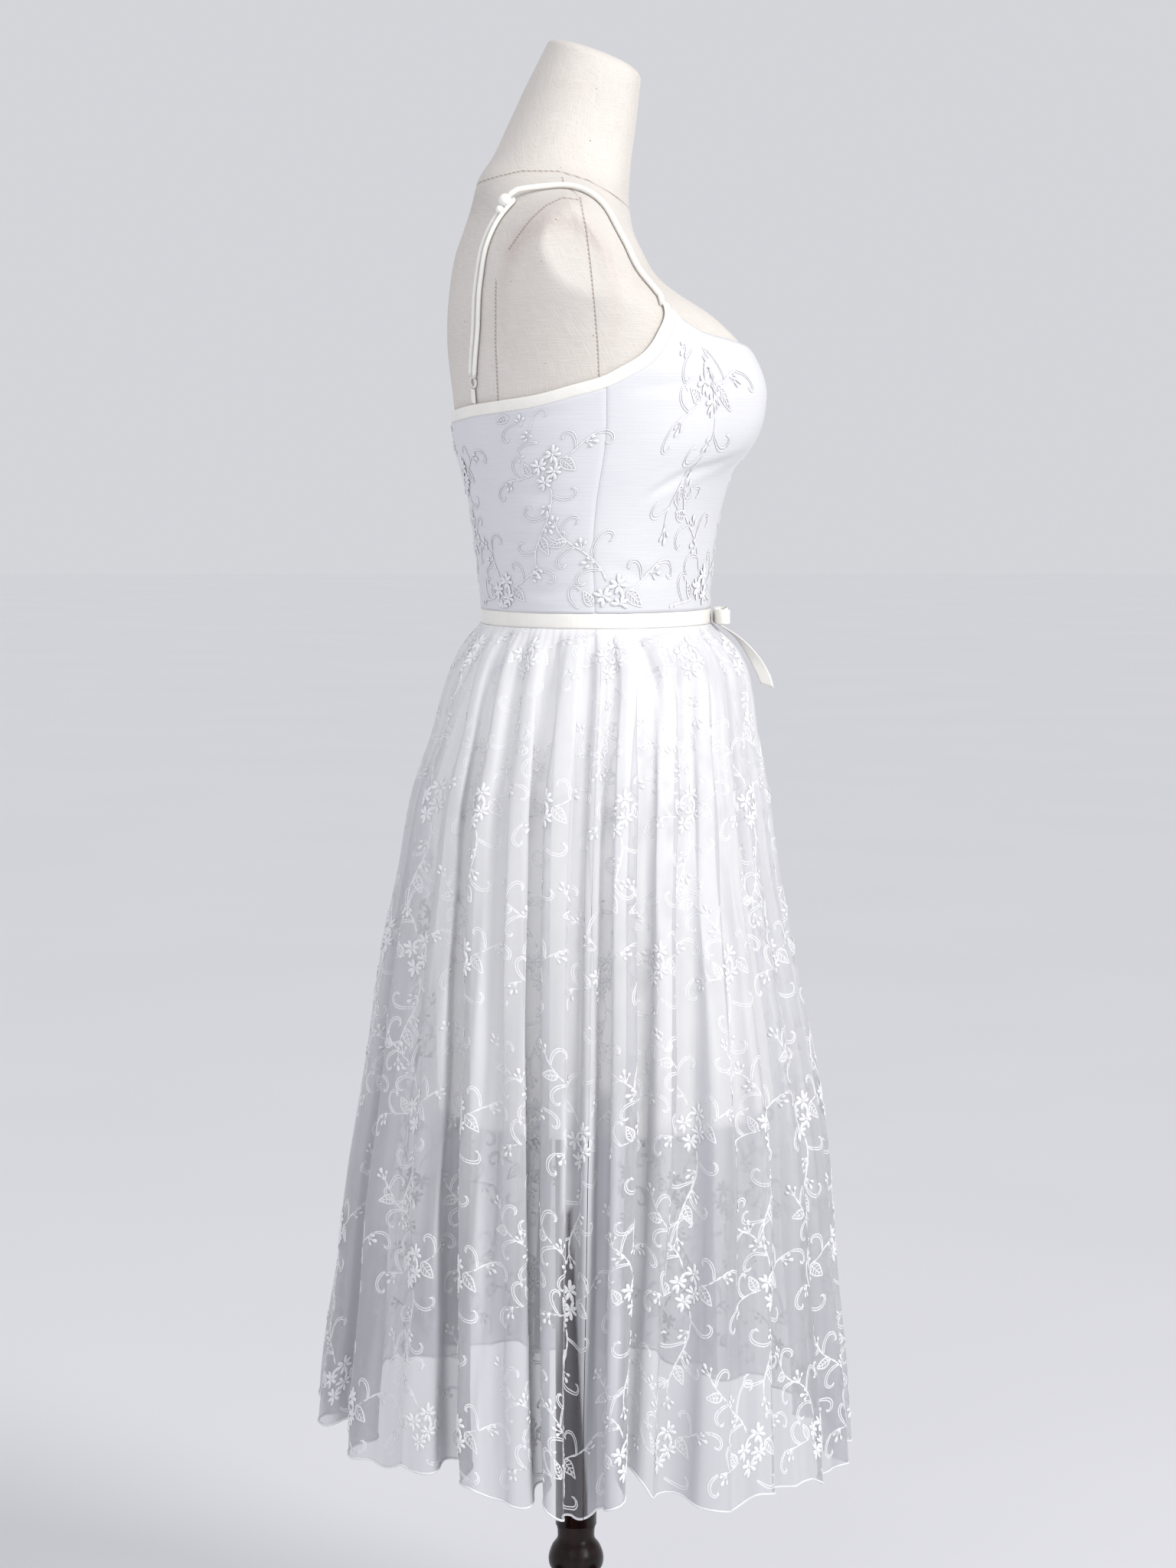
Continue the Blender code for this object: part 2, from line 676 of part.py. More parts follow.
def build_lining(collection, satin):
    side = 90.0 - math.degrees(SEAM_GAP / 2.0 / WAIST_RADIUS)
    for name, middle in (("lining_front", 0.0), ("lining_back", CENTRE_BACK)):
        angles = np.linspace(middle - side, middle + side, 17)
        sections = [[lining_point(d, height) for d in angles] for height in LINING_LEVELS]
        cloth(name, sections, LINING_WALL, collection, satin)


def build_waistband(collection, satin):
    angles = np.arange(0.0, 360.0, BAND_STEP)
    sections = [[on_form(d, h, BAND_LIFT) for d in angles] for h in (BAND_TOP, BAND_BOTTOM)]
    cloth("waistband", sections, BAND_WALL, collection, satin, closed=True)


# Straps


def form_tree():
    work = bmesh.new()
    work.from_mesh(bpy.data.objects["form_body"].data)
    tree = BVHTree.FromBMesh(work)
    work.free()
    return tree


def seat(points, tree, lift):
    """The points moved so that they lie `lift` outside the form."""
    lifts = lift if isinstance(lift, list) else [lift] * len(points)
    seated = []
    for place, height in zip(points, lifts):
        near, normal, _, _ = tree.find_nearest(place)
        seated.append(near + normal * height)
    for _ in range(3):
        soft = [seated[0]]
        soft += [(a + b * 2 + c) / 4 for a, b, c in zip(seated, seated[1:], seated[2:])]
        seated = soft + [seated[-1]]
    clear = []
    for place, height in zip(seated, lifts):
        near, normal, _, _ = tree.find_nearest(place)
        clear.append(near + normal * max(height, (place - near).dot(normal)))
    return clear


def strap_frame(place, tree, along):
    """Across-strap and outward directions on the form at a place."""
    _, normal, _, _ = tree.find_nearest(place)
    across = along.cross(normal).normalized()
    return across, normal


def ball(name, centre, radius, collection, finish_material):
    mesh = bpy.data.meshes.new(name)
    work = bmesh.new()
    bmesh.ops.create_uvsphere(work, u_segments=10, v_segments=7, radius=radius)
    work.to_mesh(mesh)
    work.free()
    obj = finish(name, mesh, collection, finish_material)
    obj.location = centre
    return obj


def loop_route(tree):
    """The back loop's middle line on the form, and its two strands joined round the button."""
    count = 12
    centre = seat(smooth_path(BACK_LOOP_ROUTE, count), tree, ON_FORM + LOOP_RADIUS)
    left, right = [], []
    for i, place in enumerate(centre):
        along = (centre[min(i + 1, count - 1)] - centre[max(i - 1, 0)]).normalized()
        across, _ = strap_frame(place, tree, along)
        left.append(place + across * LOOP_SPREAD)
        right.append(place - across * LOOP_SPREAD)
    along = (centre[1] - centre[0]).normalized()
    across, _ = strap_frame(centre[0], tree, along)
    arc = []
    for k in range(1, 5):
        angle = math.pi * k / 5
        round_it = across * math.cos(angle) - along * math.sin(angle)
        arc.append(centre[0] + round_it * LOOP_SPREAD)
    strands = left[::-1] + arc + right
    return centre, seat(strands, tree, ON_FORM + LOOP_RADIUS)


def build_straps(collection, satin, metal):
    tree = form_tree()
    centre, strands = loop_route(tree)
    along = (centre[2] - centre[0]).normalized()
    _, normal = strap_frame(centre[0], tree, along)
    strand_height = ON_FORM + LOOP_RADIUS
    rest = BUTTON_RADIUS + LOOP_RADIUS + SEAM_GAP
    button_height = strand_height + math.sqrt(rest**2 - LOOP_SPREAD**2) + SEAM_GAP
    button = centre[0] + along * BUTTON_BELOW_LOOP_TOP + normal * (button_height - strand_height)
    rest = KNOT_RADIUS + LOOP_RADIUS + SEAM_GAP
    knot_height = math.sqrt(rest**2 - LOOP_SPREAD**2) + 3 * SEAM_GAP
    knot_down = BUTTON_BELOW_LOOP_TOP + BUTTON_RADIUS + KNOT_RADIUS + KNOT_SPACE
    knot = centre[0] + along * knot_down + normal * knot_height
    route = smooth_path(FRONT_STRAP_ROUTE, 19)
    climb = [0.0] * (len(route) - len(STRAP_CLIMB)) + [*STRAP_CLIMB]
    strap = seat(route, tree, [ON_FORM + STRAP_RADIUS + rise for rise in climb])
    lead_in = button - (button - strap[-1]).normalized() * (BUTTON_RADIUS + STRAP_END_SPACE)
    strap += [strap[-1].lerp(lead_in, STRAP_LEAD_SHARE) + normal * STRAP_LEAD_LIFT, lead_in]
    down = (centre[-1] - centre[-2]).normalized()
    to_ring = RING_RADIUS + RING_WIRE
    ring_place = seat([centre[-1] + down * to_ring], tree, ON_FORM + RING_WIRE)[0]
    across, outward = strap_frame(ring_place, tree, down)
    tab_top = seat([ring_place + down * (to_ring + SEAM_GAP)], tree, ON_FORM)[0]
    tab_angle = CENTRE_BACK - math.degrees(math.asin(-tab_top.x / read(FORM, "half_width", tab_top.z)))
    edge = float(read(ARMHOLE_EDGE, "height", tab_angle, key="angle")) + TAB_EDGE_SPACE
    tab_bottom = on_form(tab_angle, edge, ON_FORM)
    for side_name, flip in (("right", 1.0), ("left", -1.0)):

        def sided(points):
            return [Vector((p[0] * flip, p[1], p[2])) for p in points]

        tube(f"strap_front_{side_name}", sided(strap), STRAP_RADIUS, collection, satin)
        tube(f"strap_loop_{side_name}", sided(strands), LOOP_RADIUS, collection, satin, sides=1)
        ball(f"strap_button_{side_name}", sided([button])[0], BUTTON_RADIUS, collection, satin)
        ball(f"strap_knot_{side_name}", sided([knot])[0], KNOT_RADIUS, collection, satin)
        circle = []
        for angle in np.radians(np.linspace(RING_OPENING / 2.0, 360.0 - RING_OPENING / 2.0, 15) - 90.0):
            circle.append(ring_place + (across * math.cos(angle) - down * math.sin(angle)) * RING_RADIUS)
        tube(f"strap_ring_{side_name}", sided(circle), RING_WIRE, collection, metal, sides=1)
        tab = []
        for place in (tab_top, tab_bottom):
            row = (-TAB_HALF_WIDTH, 0.0, TAB_HALF_WIDTH)
            tab.append([place + across * w + outward * SEAM_GAP for w in row])
        rows = [sided(row) for row in tab]
        cloth(f"strap_tab_{side_name}", rows, TAB_WALL, collection, satin)


# Bow


def build_bow(collection, satin):
    bpy.ops.mesh.primitive_cube_add(size=1.0, location=BOW_KNOT_PLACE)
    knot = bpy.context.object
    knot.name = "bow_knot"
    knot.data.name = "bow_knot"
    knot.scale = BOW_KNOT_SIZE
    bpy.ops.object.transform_apply(location=False, rotation=False, scale=True)
    knot.data.materials.append(satin)
    for holder in list(knot.users_collection):
        holder.objects.unlink(knot)
    collection.objects.link(knot)
    soft = knot.modifiers.new("soft edge", "BEVEL")
    soft.width = BOW_KNOT_EDGE
    soft.segments = 2
    middle = BOW_KNOT_PLACE[2]
    for side_name, flip in (("right", -1.0), ("left", 1.0)):
        path = smooth_path([(x * flip, y, middle) for x, y in BOW_LOOP_PATH], 15)
        rows = []
        for share in (0.5, 0.0, -0.5):
            rows.append([p + Vector((0.0, 0.0, share * BOW_RIBBON)) for p in path])
        loop_middle = (BOW_LOOP_MIDDLE[0] * flip, BOW_LOOP_MIDDLE[1])
        cloth(f"bow_loop_{side_name}", rows, BOW_WALL, collection, satin, middle=loop_middle)
        hang = smooth_path([(x * flip, y, z) for x, y, z in BOW_TAIL_PATH], 8)
        rows = []
        for i, place in enumerate(hang):
            half = TAIL_ROOT + TAIL_SPREAD * min(1.0, i / 3.0)
            slant = TAIL_SLANT if i == len(hang) - 1 else 0.0
            inner = place - Vector((half * flip, 0.0, 0.0))
            outer = place + Vector((half * flip, 0.0, -slant))
            rows.append([inner, place, outer])
        cloth(f"bow_tail_{side_name}", rows, BOW_WALL, collection, satin)


# Stand


def build_stand(collection, wood):
    depth = FORM_BOTTOM - SEAM_GAP - (COLUMN_TOP + SEAM_GAP)
    bpy.ops.mesh.primitive_cylinder_add(
        vertices=24,
        radius=POLE_RADIUS,
        depth=depth,
        location=(0.0, 0.0, COLUMN_TOP + SEAM_GAP + depth / 2.0),
    )
    pole = bpy.context.object
    pole.name = "pole"
    pole.data.name = "pole"
    pole.data.materials.append(wood)
    for holder in list(pole.users_collection):
        holder.objects.unlink(pole)
    collection.objects.link(pole)

    work = bmesh.new()
    profile = [(r, 0.0, h) for r, h in zip(COLUMN["radius"], COLUMN["height"])]
    profile[0] = (0.0, 0.0, profile[0][2])
    profile[-1] = (0.0, 0.0, profile[-1][2])
    verts = [work.verts.new(p) for p in profile]
    for pair in zip(verts, verts[1:]):
        work.edges.new(pair)
    column = finish("turned_column", to_mesh(work, "turned_column"), collection, wood, smooth=False)
    lathe = column.modifiers.new("lathe", "SCREW")
    lathe.steps = 20
    lathe.render_steps = 20
    lathe.use_merge_vertices = True
    lathe.merge_threshold = 0.00005
    lathe.use_smooth_shade = True

    for number, degrees in LEG_ANGLES.items():
        way = Vector((math.cos(math.radians(degrees)), math.sin(math.radians(degrees)), 0.0))
        raw = [
            way * (LEG_START + reach) + Vector((0.0, 0.0, height))
            for reach, height in zip(LEG["reach"], LEG["height"])
        ]
        path = smooth_path(raw, 14)
        reach_of = [p.dot(way) - LEG_START for p in path]
        widths = [float(read(LEG, "radius", r, key="reach")) for r in reach_of]
        tube(f"leg_{number}", path, 1.0, collection, wood, sides=3, taper=widths)
        bpy.ops.mesh.primitive_cylinder_add(
            vertices=20,
            radius=FOOT_RADIUS,
            depth=FOOT_HEIGHT,
            location=path[-1].xy.to_3d() - way * FOOT_INSET + Vector((0.0, 0.0, FOOT_HEIGHT / 2.0)),
        )
        foot = bpy.context.object
        foot.name = f"foot_{number}"
        foot.data.name = f"foot_{number}"
        foot.data.materials.append(wood)
        for holder in list(foot.users_collection):
            holder.objects.unlink(foot)
        collection.objects.link(foot)


def main():
    clear_scene()
    dress = bpy.data.collections.new("sleeveless dress on dress form")
    bpy.context.scene.collection.children.link(dress)
    linen = material("linen", (0.76, 0.72, 0.66), 0.9)
    embroidered = material("embroidered organza", (0.86, 0.86, 0.90), 0.6)
    organza = material("organza", (0.80, 0.80, 0.86), 0.5)
    satin = material("satin", (0.92, 0.91, 0.86), 0.35)
    metal = material("coated metal", (0.90, 0.89, 0.85), 0.3)
    wood = material("dark wood", (0.025, 0.016, 0.012), 0.25)

    build_form(dress, linen)
    build_bodice(dress, embroidered, satin)
    build_waistband(dress, satin)
    build_lining(dress, satin)
    build_skirt(dress, organza)
    build_straps(dress, satin, metal)
    build_bow(dress, satin)
    build_stand(dress, wood)


main()
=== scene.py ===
# Sleeveless dress of embroidered organza on a linen covered dress form with a turned stand.
# Metres, +Z up. The front faces -Y and the wearer's right side is -X.

import math

import bmesh
import bpy
import numpy as np
from mathutils import Matrix, Vector
from mathutils.bvhtree import BVHTree


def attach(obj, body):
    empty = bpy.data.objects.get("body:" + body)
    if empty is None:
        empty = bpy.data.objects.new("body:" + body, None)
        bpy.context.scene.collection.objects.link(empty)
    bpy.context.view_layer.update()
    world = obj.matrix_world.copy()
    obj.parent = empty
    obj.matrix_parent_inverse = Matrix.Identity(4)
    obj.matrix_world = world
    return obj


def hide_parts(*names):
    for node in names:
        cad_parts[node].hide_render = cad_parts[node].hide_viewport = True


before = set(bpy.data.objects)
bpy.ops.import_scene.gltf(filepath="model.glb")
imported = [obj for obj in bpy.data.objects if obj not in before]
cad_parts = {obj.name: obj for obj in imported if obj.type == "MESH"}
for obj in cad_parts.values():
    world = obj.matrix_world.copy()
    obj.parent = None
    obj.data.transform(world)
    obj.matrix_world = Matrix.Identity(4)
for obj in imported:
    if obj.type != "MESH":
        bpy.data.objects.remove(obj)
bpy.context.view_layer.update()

# Driving dimensions
SEAM_GAP = 0.0003
ARM_PLATE_X = 0.170
BUST_X = 0.080
BUST_SPREAD = 0.048
BUST_START = 0.06
BUST_FADE = 0.3
CUP_BRIDGE = 0.38
FORM_LIFT = -0.0005
NECK_TOP_TILT = 0.345

BAND_BOTTOM = 1.0150
BAND_TOP = 1.0286
BAND_LIFT = 0.0006
BAND_WALL = 0.0024
WAIST_RADIUS = 0.115
BODICE_LIFT = 0.0014
BODICE_WALL = 0.0012
BODICE_SIDE_RADIUS = 0.148
STRAP_POINT_ANGLE = 53.7
BINDING_LIFT = 0.0008
BINDING_WALL = 0.0027
BINDING_WIDTH = 0.0100
BINDING_POINT_SHARE = 0.55
BINDING_POINT_SPAN = 9.0
LINING_LIFT = 0.0012
LINING_WALL = 0.0005
LINING_HIP = 0.850
LINING_HEM = 0.592
LINING_AXIS_Y = -0.015
SKIRT_TOP = BAND_BOTTOM + SEAM_GAP
HEM_MIDDLE = 0.302
HEM_TILT = 0.075
HEM_RISE_IN_GROOVE = 0.010
HEM_ROLL_RADIUS = 0.0011
FOLD_SPREAD = 0.8
FOLD_SETTLE = 0.13

STRAP_RADIUS = 0.0025
LOOP_RADIUS = 0.0020
LOOP_SPREAD = 0.0036
BUTTON_RADIUS = 0.0056
BUTTON_BELOW_LOOP_TOP = 0.0025
BUTTON_SEAT = 0.0046
KNOT_RADIUS = 0.0038
KNOT_SPACE = -0.0012
KNOT_SEAT = 0.0026
STRAP_CLIMB = (0.0008, 0.0024, 0.0046)
STRAP_LEAD_SHARE = 0.55
STRAP_ROOT_HEIGHT = 1.2850
STRAP_LEAD_LIFT = 0.0012
STRAP_END_SPACE = -0.0030
RING_RADIUS = 0.0042
RING_WIRE = 0.0011
RING_OPENING = 14.0
TAB_HALF_WIDTH = 0.003
TAB_WALL = 0.0018
TAB_EDGE_SPACE = 0.0012
ON_FORM = 0.0007

FORM_BOTTOM = 0.760
POLE_RADIUS = 0.0183
COLUMN_TOP = 0.2112
POLE_SUNK = 0.0025
FOOT_HEIGHT = 0.008
FOOT_RADIUS = 0.017
FOOT_INSET = 0.004
LEG_ANGLES = {1: 120.0, 2: 240.0, 3: 0.0}
LEG_START = 0.0274

# How finely the shown surfaces are divided
STEPS_A_FOLD = 10
SKIRT_ROWS = 96
BODICE_ROWS = 68
FORM_STEP = 2.0

# Light that reaches the lining by way of the organza
LINING_GLOW = 0.17

# Camera and light: tilt and the far key's width in degrees, place that the lamps face
CAMERA_PLACE = (-3.2, -0.0107, 1.17)
CAMERA_TILT = 5.3
CAMERA_LENS = 84.0
LIT_PLACE = (0.0, 0.0, 1.15)
SKY_STRENGTH = 0.70
FAR_KEY_PLACE = (-2.0, -2.1, 2.7)
FAR_KEY_STRENGTH = 1.05
FAR_KEY_WIDTH = 22.0
FLOOR_SIZE = 30.0

# Embroidery: the repeat of the pattern, and how far its stitches stand off the cloth
REPEAT_ACROSS = 0.100
FIRST_CLUSTER_DROP = 0.030
REPEAT_DOWN = 0.132
BODICE_STITCH_LIFT = 0.0006


def table(columns, rows):
    return {name: np.array([row[i] for row in rows]) for i, name in enumerate(columns)}


# Sections of the torso, from its bottom edge to the neck
FORM = table(
    ("height", "half_width", "side_y", "front_y", "bust", "back_y", "pinch"),
    [
        (0.760, 0.1590, -0.010, -0.1270, 0.0000, 0.1100, 1.00),
        (0.775, 0.1650, -0.010, -0.1330, 0.0000, 0.1170, 1.00),
        (0.800, 0.1685, -0.010, -0.1370, 0.0000, 0.1225, 1.00),
        (0.850, 0.1685, -0.011, -0.1380, 0.0000, 0.1245, 1.00),
        (0.885, 0.1630, -0.013, -0.1360, 0.0000, 0.1180, 1.00),
        (0.920, 0.1500, -0.015, -0.1310, 0.0000, 0.1060, 1.00),
        (0.965, 0.1305, -0.017, -0.1230, 0.0000, 0.0910, 1.00),
        (1.015, 0.1145, -0.017, -0.1156, 0.0000, 0.0800, 1.00),
        (1.045, 0.1170, -0.016, -0.1150, 0.0000, 0.0812, 1.00),
        (1.085, 0.1250, -0.015, -0.1182, 0.0000, 0.0858, 1.00),
        (1.125, 0.1340, -0.018, -0.1262, 0.0010, 0.0915, 1.00),
        (1.150, 0.1395, -0.022, -0.1310, 0.0090, 0.0970, 1.00),
        (1.162, 0.1415, -0.024, -0.1330, 0.0210, 0.1010, 1.00),
        (1.173, 0.1435, -0.025, -0.1338, 0.0295, 0.1030, 1.00),
        (1.186, 0.1455, -0.026, -0.1345, 0.0350, 0.1045, 1.00),
        (1.200, 0.1475, -0.026, -0.1345, 0.0378, 0.1060, 1.00),
        (1.215, 0.1495, -0.026, -0.1340, 0.0390, 0.1075, 1.00),
        (1.233, 0.1525, -0.025, -0.1315, 0.0360, 0.1098, 1.00),
        (1.253, 0.1560, -0.024, -0.1262, 0.0285, 0.1117, 1.00),
        (1.270, 0.1605, -0.022, -0.1180, 0.0190, 0.1120, 1.00),
        (1.283, 0.1655, -0.020, -0.1085, 0.0110, 0.1116, 1.00),
        (1.297, 0.1720, -0.016, -0.0910, 0.0040, 0.1104, 1.05),
        (1.311, 0.1780, -0.012, -0.0745, 0.0000, 0.1088, 1.15),
        (1.337, 0.1870, -0.004, -0.0578, 0.0000, 0.1034, 1.40),
        (1.352, 0.1840, 0.001, -0.0510, 0.0000, 0.0980, 1.60),
        (1.3655, 0.1640, 0.004, -0.0480, 0.0000, 0.0935, 1.60),
        (1.3777, 0.1310, 0.008, -0.0465, 0.0000, 0.0900, 1.40),
        (1.3880, 0.0950, 0.012, -0.0465, 0.0000, 0.0875, 1.15),
        (1.3981, 0.0740, 0.014, -0.0472, 0.0000, 0.0847, 1.00),
        (1.4164, 0.0615, 0.012, -0.0487, 0.0000, 0.0727, 1.00),
        (1.4439, 0.0565, 0.004, -0.0525, 0.0000, 0.0594, 1.00),
        (1.4765, 0.0550, -0.006, -0.0560, 0.0000, 0.0441, 1.00),
    ],
)
NECK_RIM = {"half_width": 0.0525, "front_y": -0.0563, "back_y": 0.0255, "front_height": 1.4837}
NECK_DOME = table(
    ("share", "rise"),
    [
        (1.0, 0.0),
        (0.985, 0.0016),
        (0.96, 0.0034),
        (0.93, 0.0050),
        (0.85, 0.0069),
        (0.74, 0.0082),
        (0.40, 0.0094),
    ],
)

ARMHOLE_EDGE = table(
    ("angle", "height"),
    [
        (STRAP_POINT_ANGLE, 1.2880),
        (58.5, 1.2765),
        (65.2, 1.2640),
        (74.9, 1.2450),
        (83.5, 1.2345),
        (92.2, 1.2260),
        (101.6, 1.2200),
        (115.0, 1.2120),
        (131.6, 1.2070),
        (147.0, 1.2040),
        (165.0, 1.2000),
        (180.0, 1.1985),
    ],
)
NECKLINE = table(
    ("angle", "height"),
    [(0.0, 1.2380), (14.0, 1.2430), (28.0, 1.2515), (40.0, 1.2585), (47.0, 1.2640), (51.0, 1.2730)],
)
LINING = table(
    ("height", "half_width", "side_y", "front_y", "back_y"),
    [
        (0.592, 0.1888, -0.020, -0.1708, 0.1170),
        (0.720, 0.1793, -0.016, -0.1553, 0.1213),
        (0.850, 0.1691, -0.011, -0.1386, 0.1251),
    ],
)
SKIRT = table(
    ("height", "half_width", "side_y", "front_y", "back_y", "groove"),
    [
        (0.2800, 0.2725, -0.005, -0.2465, 0.2385, 0.0490),
        (0.3600, 0.2650, -0.005, -0.2400, 0.2310, 0.0450),
        (0.4400, 0.2560, -0.006, -0.2320, 0.2190, 0.0410),
        (0.5380, 0.2460, -0.007, -0.2255, 0.2066, 0.0360),
        (0.6340, 0.2340, -0.008, -0.2119, 0.1890, 0.0300),
        (0.7200, 0.2180, -0.009, -0.1945, 0.1757, 0.0240),
        (0.8000, 0.2040, -0.010, -0.1785, 0.1600, 0.0190),
        (0.8720, 0.1880, -0.012, -0.1690, 0.1460, 0.0160),
        (0.9210, 0.1715, -0.014, -0.1598, 0.1285, 0.0140),
        (0.9550, 0.1570, -0.016, -0.1552, 0.1188, 0.0130),
        (0.9770, 0.1465, -0.017, -0.1500, 0.1105, 0.0115),
        (0.9970, 0.1335, -0.017, -0.1380, 0.0990, 0.0080),
        (1.0060, 0.1255, -0.017, -0.1285, 0.0915, 0.0045),
        (1.0147, 0.1181, -0.017, -0.1192, 0.0836, 0.0000),
    ],
)

# Lines of the gathered skirt in order round the right and the left side: their angle from
# centre front at the band and at the hem, how deep they lie there as a share of the depth of
# a fold, and how far the cloth after them doubles back on itself, near the band and the hem
FOLD_COLUMNS = ("top", "hem", "sunk_top", "sunk_hem", "lap_top", "lap_hem")
RIGHT_FOLDS = table(
    FOLD_COLUMNS,
    [
        (5.0, 2.0, 0.00, 0.00, 0.10, 0.15),
        (10.0, 8.0, 0.60, 0.55, 0.05, 0.10),
        (15.0, 15.0, 0.00, 0.00, 0.10, 0.10),
        (20.0, 24.0, 0.65, 0.30, 0.05, 0.05),
        (25.0, 33.0, 0.00, 0.05, 0.15, 0.10),
        (30.0, 42.0, 0.60, 0.26, 0.05, 0.05),
        (35.0, 49.0, 0.00, 0.02, 0.10, 0.05),
        (39.5, 55.0, 0.65, 0.20, 0.10, 0.05),
        (44.0, 60.0, 0.00, 0.00, 0.20, 0.12),
        (51.5, 71.0, 0.85, 0.75, 0.25, 0.05),
        (60.0, 75.5, 0.00, 0.62, 0.20, 0.02),
        (69.0, 79.5, 0.80, 0.95, 0.34, 0.36),
        (78.0, 83.3, 0.00, 0.00, 0.36, 0.30),
        (83.0, 86.5, 0.80, 0.85, 0.10, 0.00),
        (88.0, 89.5, 0.05, 0.80, 0.20, 0.00),
        (93.0, 92.3, 0.80, 0.85, 0.34, 0.30),
        (100.0, 95.5, 0.00, 0.00, 0.30, 0.30),
        (110.5, 99.3, 0.95, 1.00, 0.38, 0.42),
        (117.0, 102.0, 0.00, 0.04, 0.15, 0.05),
        (123.5, 107.5, 0.70, 0.18, 0.10, 0.05),
        (130.0, 113.5, 0.00, 0.00, 0.10, 0.10),
        (137.0, 119.5, 0.90, 1.00, 0.36, 0.42),
        (143.0, 126.0, 0.00, 0.03, 0.15, 0.05),
        (149.0, 134.0, 0.60, 0.28, 0.05, 0.05),
        (156.0, 143.0, 0.00, 0.00, 0.20, 0.20),
        (163.0, 153.0, 0.80, 0.80, 0.20, 0.25),
        (169.0, 163.0, 0.00, 0.00, 0.10, 0.15),
        (175.0, 172.0, 0.70, 0.60, 0.10, 0.10),
    ],
)
LEFT_FOLDS = table(
    FOLD_COLUMNS,
    [
        (-176.0, -178.0, 0.65, 0.55, 0.10, 0.10),
        (-169.0, -171.0, 0.00, 0.00, 0.20, 0.20),
        (-161.0, -163.0, 0.80, 0.75, 0.10, 0.15),
        (-153.0, -154.0, 0.00, 0.05, 0.10, 0.05),
        (-146.0, -146.0, 0.60, 0.22, 0.10, 0.05),
        (-139.0, -138.0, 0.00, 0.00, 0.15, 0.20),
        (-132.0, -129.0, 0.85, 0.95, 0.34, 0.38),
        (-125.0, -121.0, 0.00, 0.00, 0.10, 0.10),
        (-119.0, -115.0, 0.65, 0.25, 0.10, 0.05),
        (-112.0, -109.0, 0.00, 0.05, 0.25, 0.20),
        (-104.0, -103.0, 0.90, 1.00, 0.36, 0.40),
        (-97.0, -98.0, 0.00, 0.00, 0.10, 0.10),
        (-90.0, -92.0, 0.70, 0.30, 0.10, 0.05),
        (-83.0, -87.0, 0.00, 0.05, 0.20, 0.20),
        (-76.0, -81.0, 0.90, 0.90, 0.30, 0.34),
        (-69.0, -75.0, 0.00, 0.00, 0.10, 0.10),
        (-62.0, -68.0, 0.65, 0.28, 0.10, 0.05),
        (-55.0, -60.0, 0.00, 0.02, 0.25, 0.25),
        (-48.0, -52.0, 0.85, 0.85, 0.20, 0.20),
        (-41.0, -44.0, 0.00, 0.00, 0.10, 0.10),
        (-34.0, -36.0, 0.60, 0.25, 0.05, 0.05),
        (-27.0, -28.0, 0.00, 0.05, 0.15, 0.15),
        (-20.0, -20.0, 0.75, 0.70, 0.15, 0.20),
        (-13.0, -13.0, 0.00, 0.00, 0.10, 0.10),
        (-4.0, -5.0, 0.60, 0.45, 0.05, 0.05),
    ],
)
RIGHT_SEAM_LINE = 14
LEFT_SEAM_LINE = 12
# The gap in the folds before the pole: where it opens, and its two edges at the hem
SLIT = {"height": 0.540, "angle": 92.8, "front_edge": 88.8, "back_edge": 95.0, "bottom": 0.300}
SLIT_SIDE = 83.0
SLIT_ABOVE = {"height": 0.66, "far_side": 94.8}
# Height below which the organza's colour is darkest, growing paler upwards: partly the gathering's denser
# cloth, partly painted shade on the lower skirt
PAINTED_SHADE_FULL_BELOW = 0.36
COVER = {"slit": 0.22, "plain": 0.50, "most": 1.05, "beside_slit": 0.90}

# Short tucks under the band, where the gathering pulls wedges of cloth inwards
TUCKS = table(
    ("angle_top", "angle_low", "start", "length", "depth", "width"),
    [
        (70.0, 64.5, 0.004, 0.060, 0.0062, 3.0),
        (61.5, 57.0, 0.006, 0.070, 0.0066, 2.6),
        (48.0, 46.0, 0.002, 0.036, 0.0030, 2.4),
        (42.5, 38.5, 0.004, 0.062, 0.0050, 2.8),
        (30.0, 28.0, 0.003, 0.045, 0.0034, 2.8),
        (22.0, 20.5, 0.002, 0.030, 0.0026, 2.2),
        (90.5, 89.5, 0.002, 0.030, 0.0028, 2.0),
        (107.6, 108.0, 0.003, 0.075, 0.0048, 2.2),
        (134.5, 137.0, 0.004, 0.070, 0.0050, 2.6),
        (150.0, 153.0, 0.003, 0.055, 0.0044, 2.6),
        (166.0, 168.0, 0.003, 0.040, 0.0034, 2.4),
        (-23.0, -24.0, 0.003, 0.050, 0.0044, 2.8),
        (-38.0, -40.0, 0.004, 0.065, 0.0056, 2.6),
        (-60.0, -63.0, 0.003, 0.055, 0.0050, 2.8),
        (-72.0, -75.0, 0.005, 0.070, 0.0050, 2.4),
        (-98.0, -99.0, 0.003, 0.045, 0.0040, 2.2),
        (-116.0, -119.0, 0.003, 0.070, 0.0054, 2.6),
        (-136.0, -139.0, 0.003, 0.048, 0.0042, 2.6),
        (-157.0, -160.0, 0.003, 0.060, 0.0046, 2.6),
    ],
)
PUCKER = {"waves": 104, "height": 0.0013, "fade": 0.045}
# Small waves that run down the organza: how many round the skirt, their height and drift
RIPPLES = table(
    ("waves", "height", "drift", "phase"),
    [(57, 0.0011, 2.6, 0.4), (83, 0.0007, -3.4, 1.9), (31, 0.0016, 1.7, 3.3)],
)
HEM_WAVES = table(
    ("waves", "rise", "phase"),
    [(23, 0.0032, 0.6), (41, 0.0017, 2.2), (9, 0.0040, 1.1)],
)
# Places where the hem hangs lower or higher than the rest: angle, rise and how wide they are
HEM_SHIFTS = [(90.2, -0.026, 5.6), (78.0, 0.010, 3.6)]

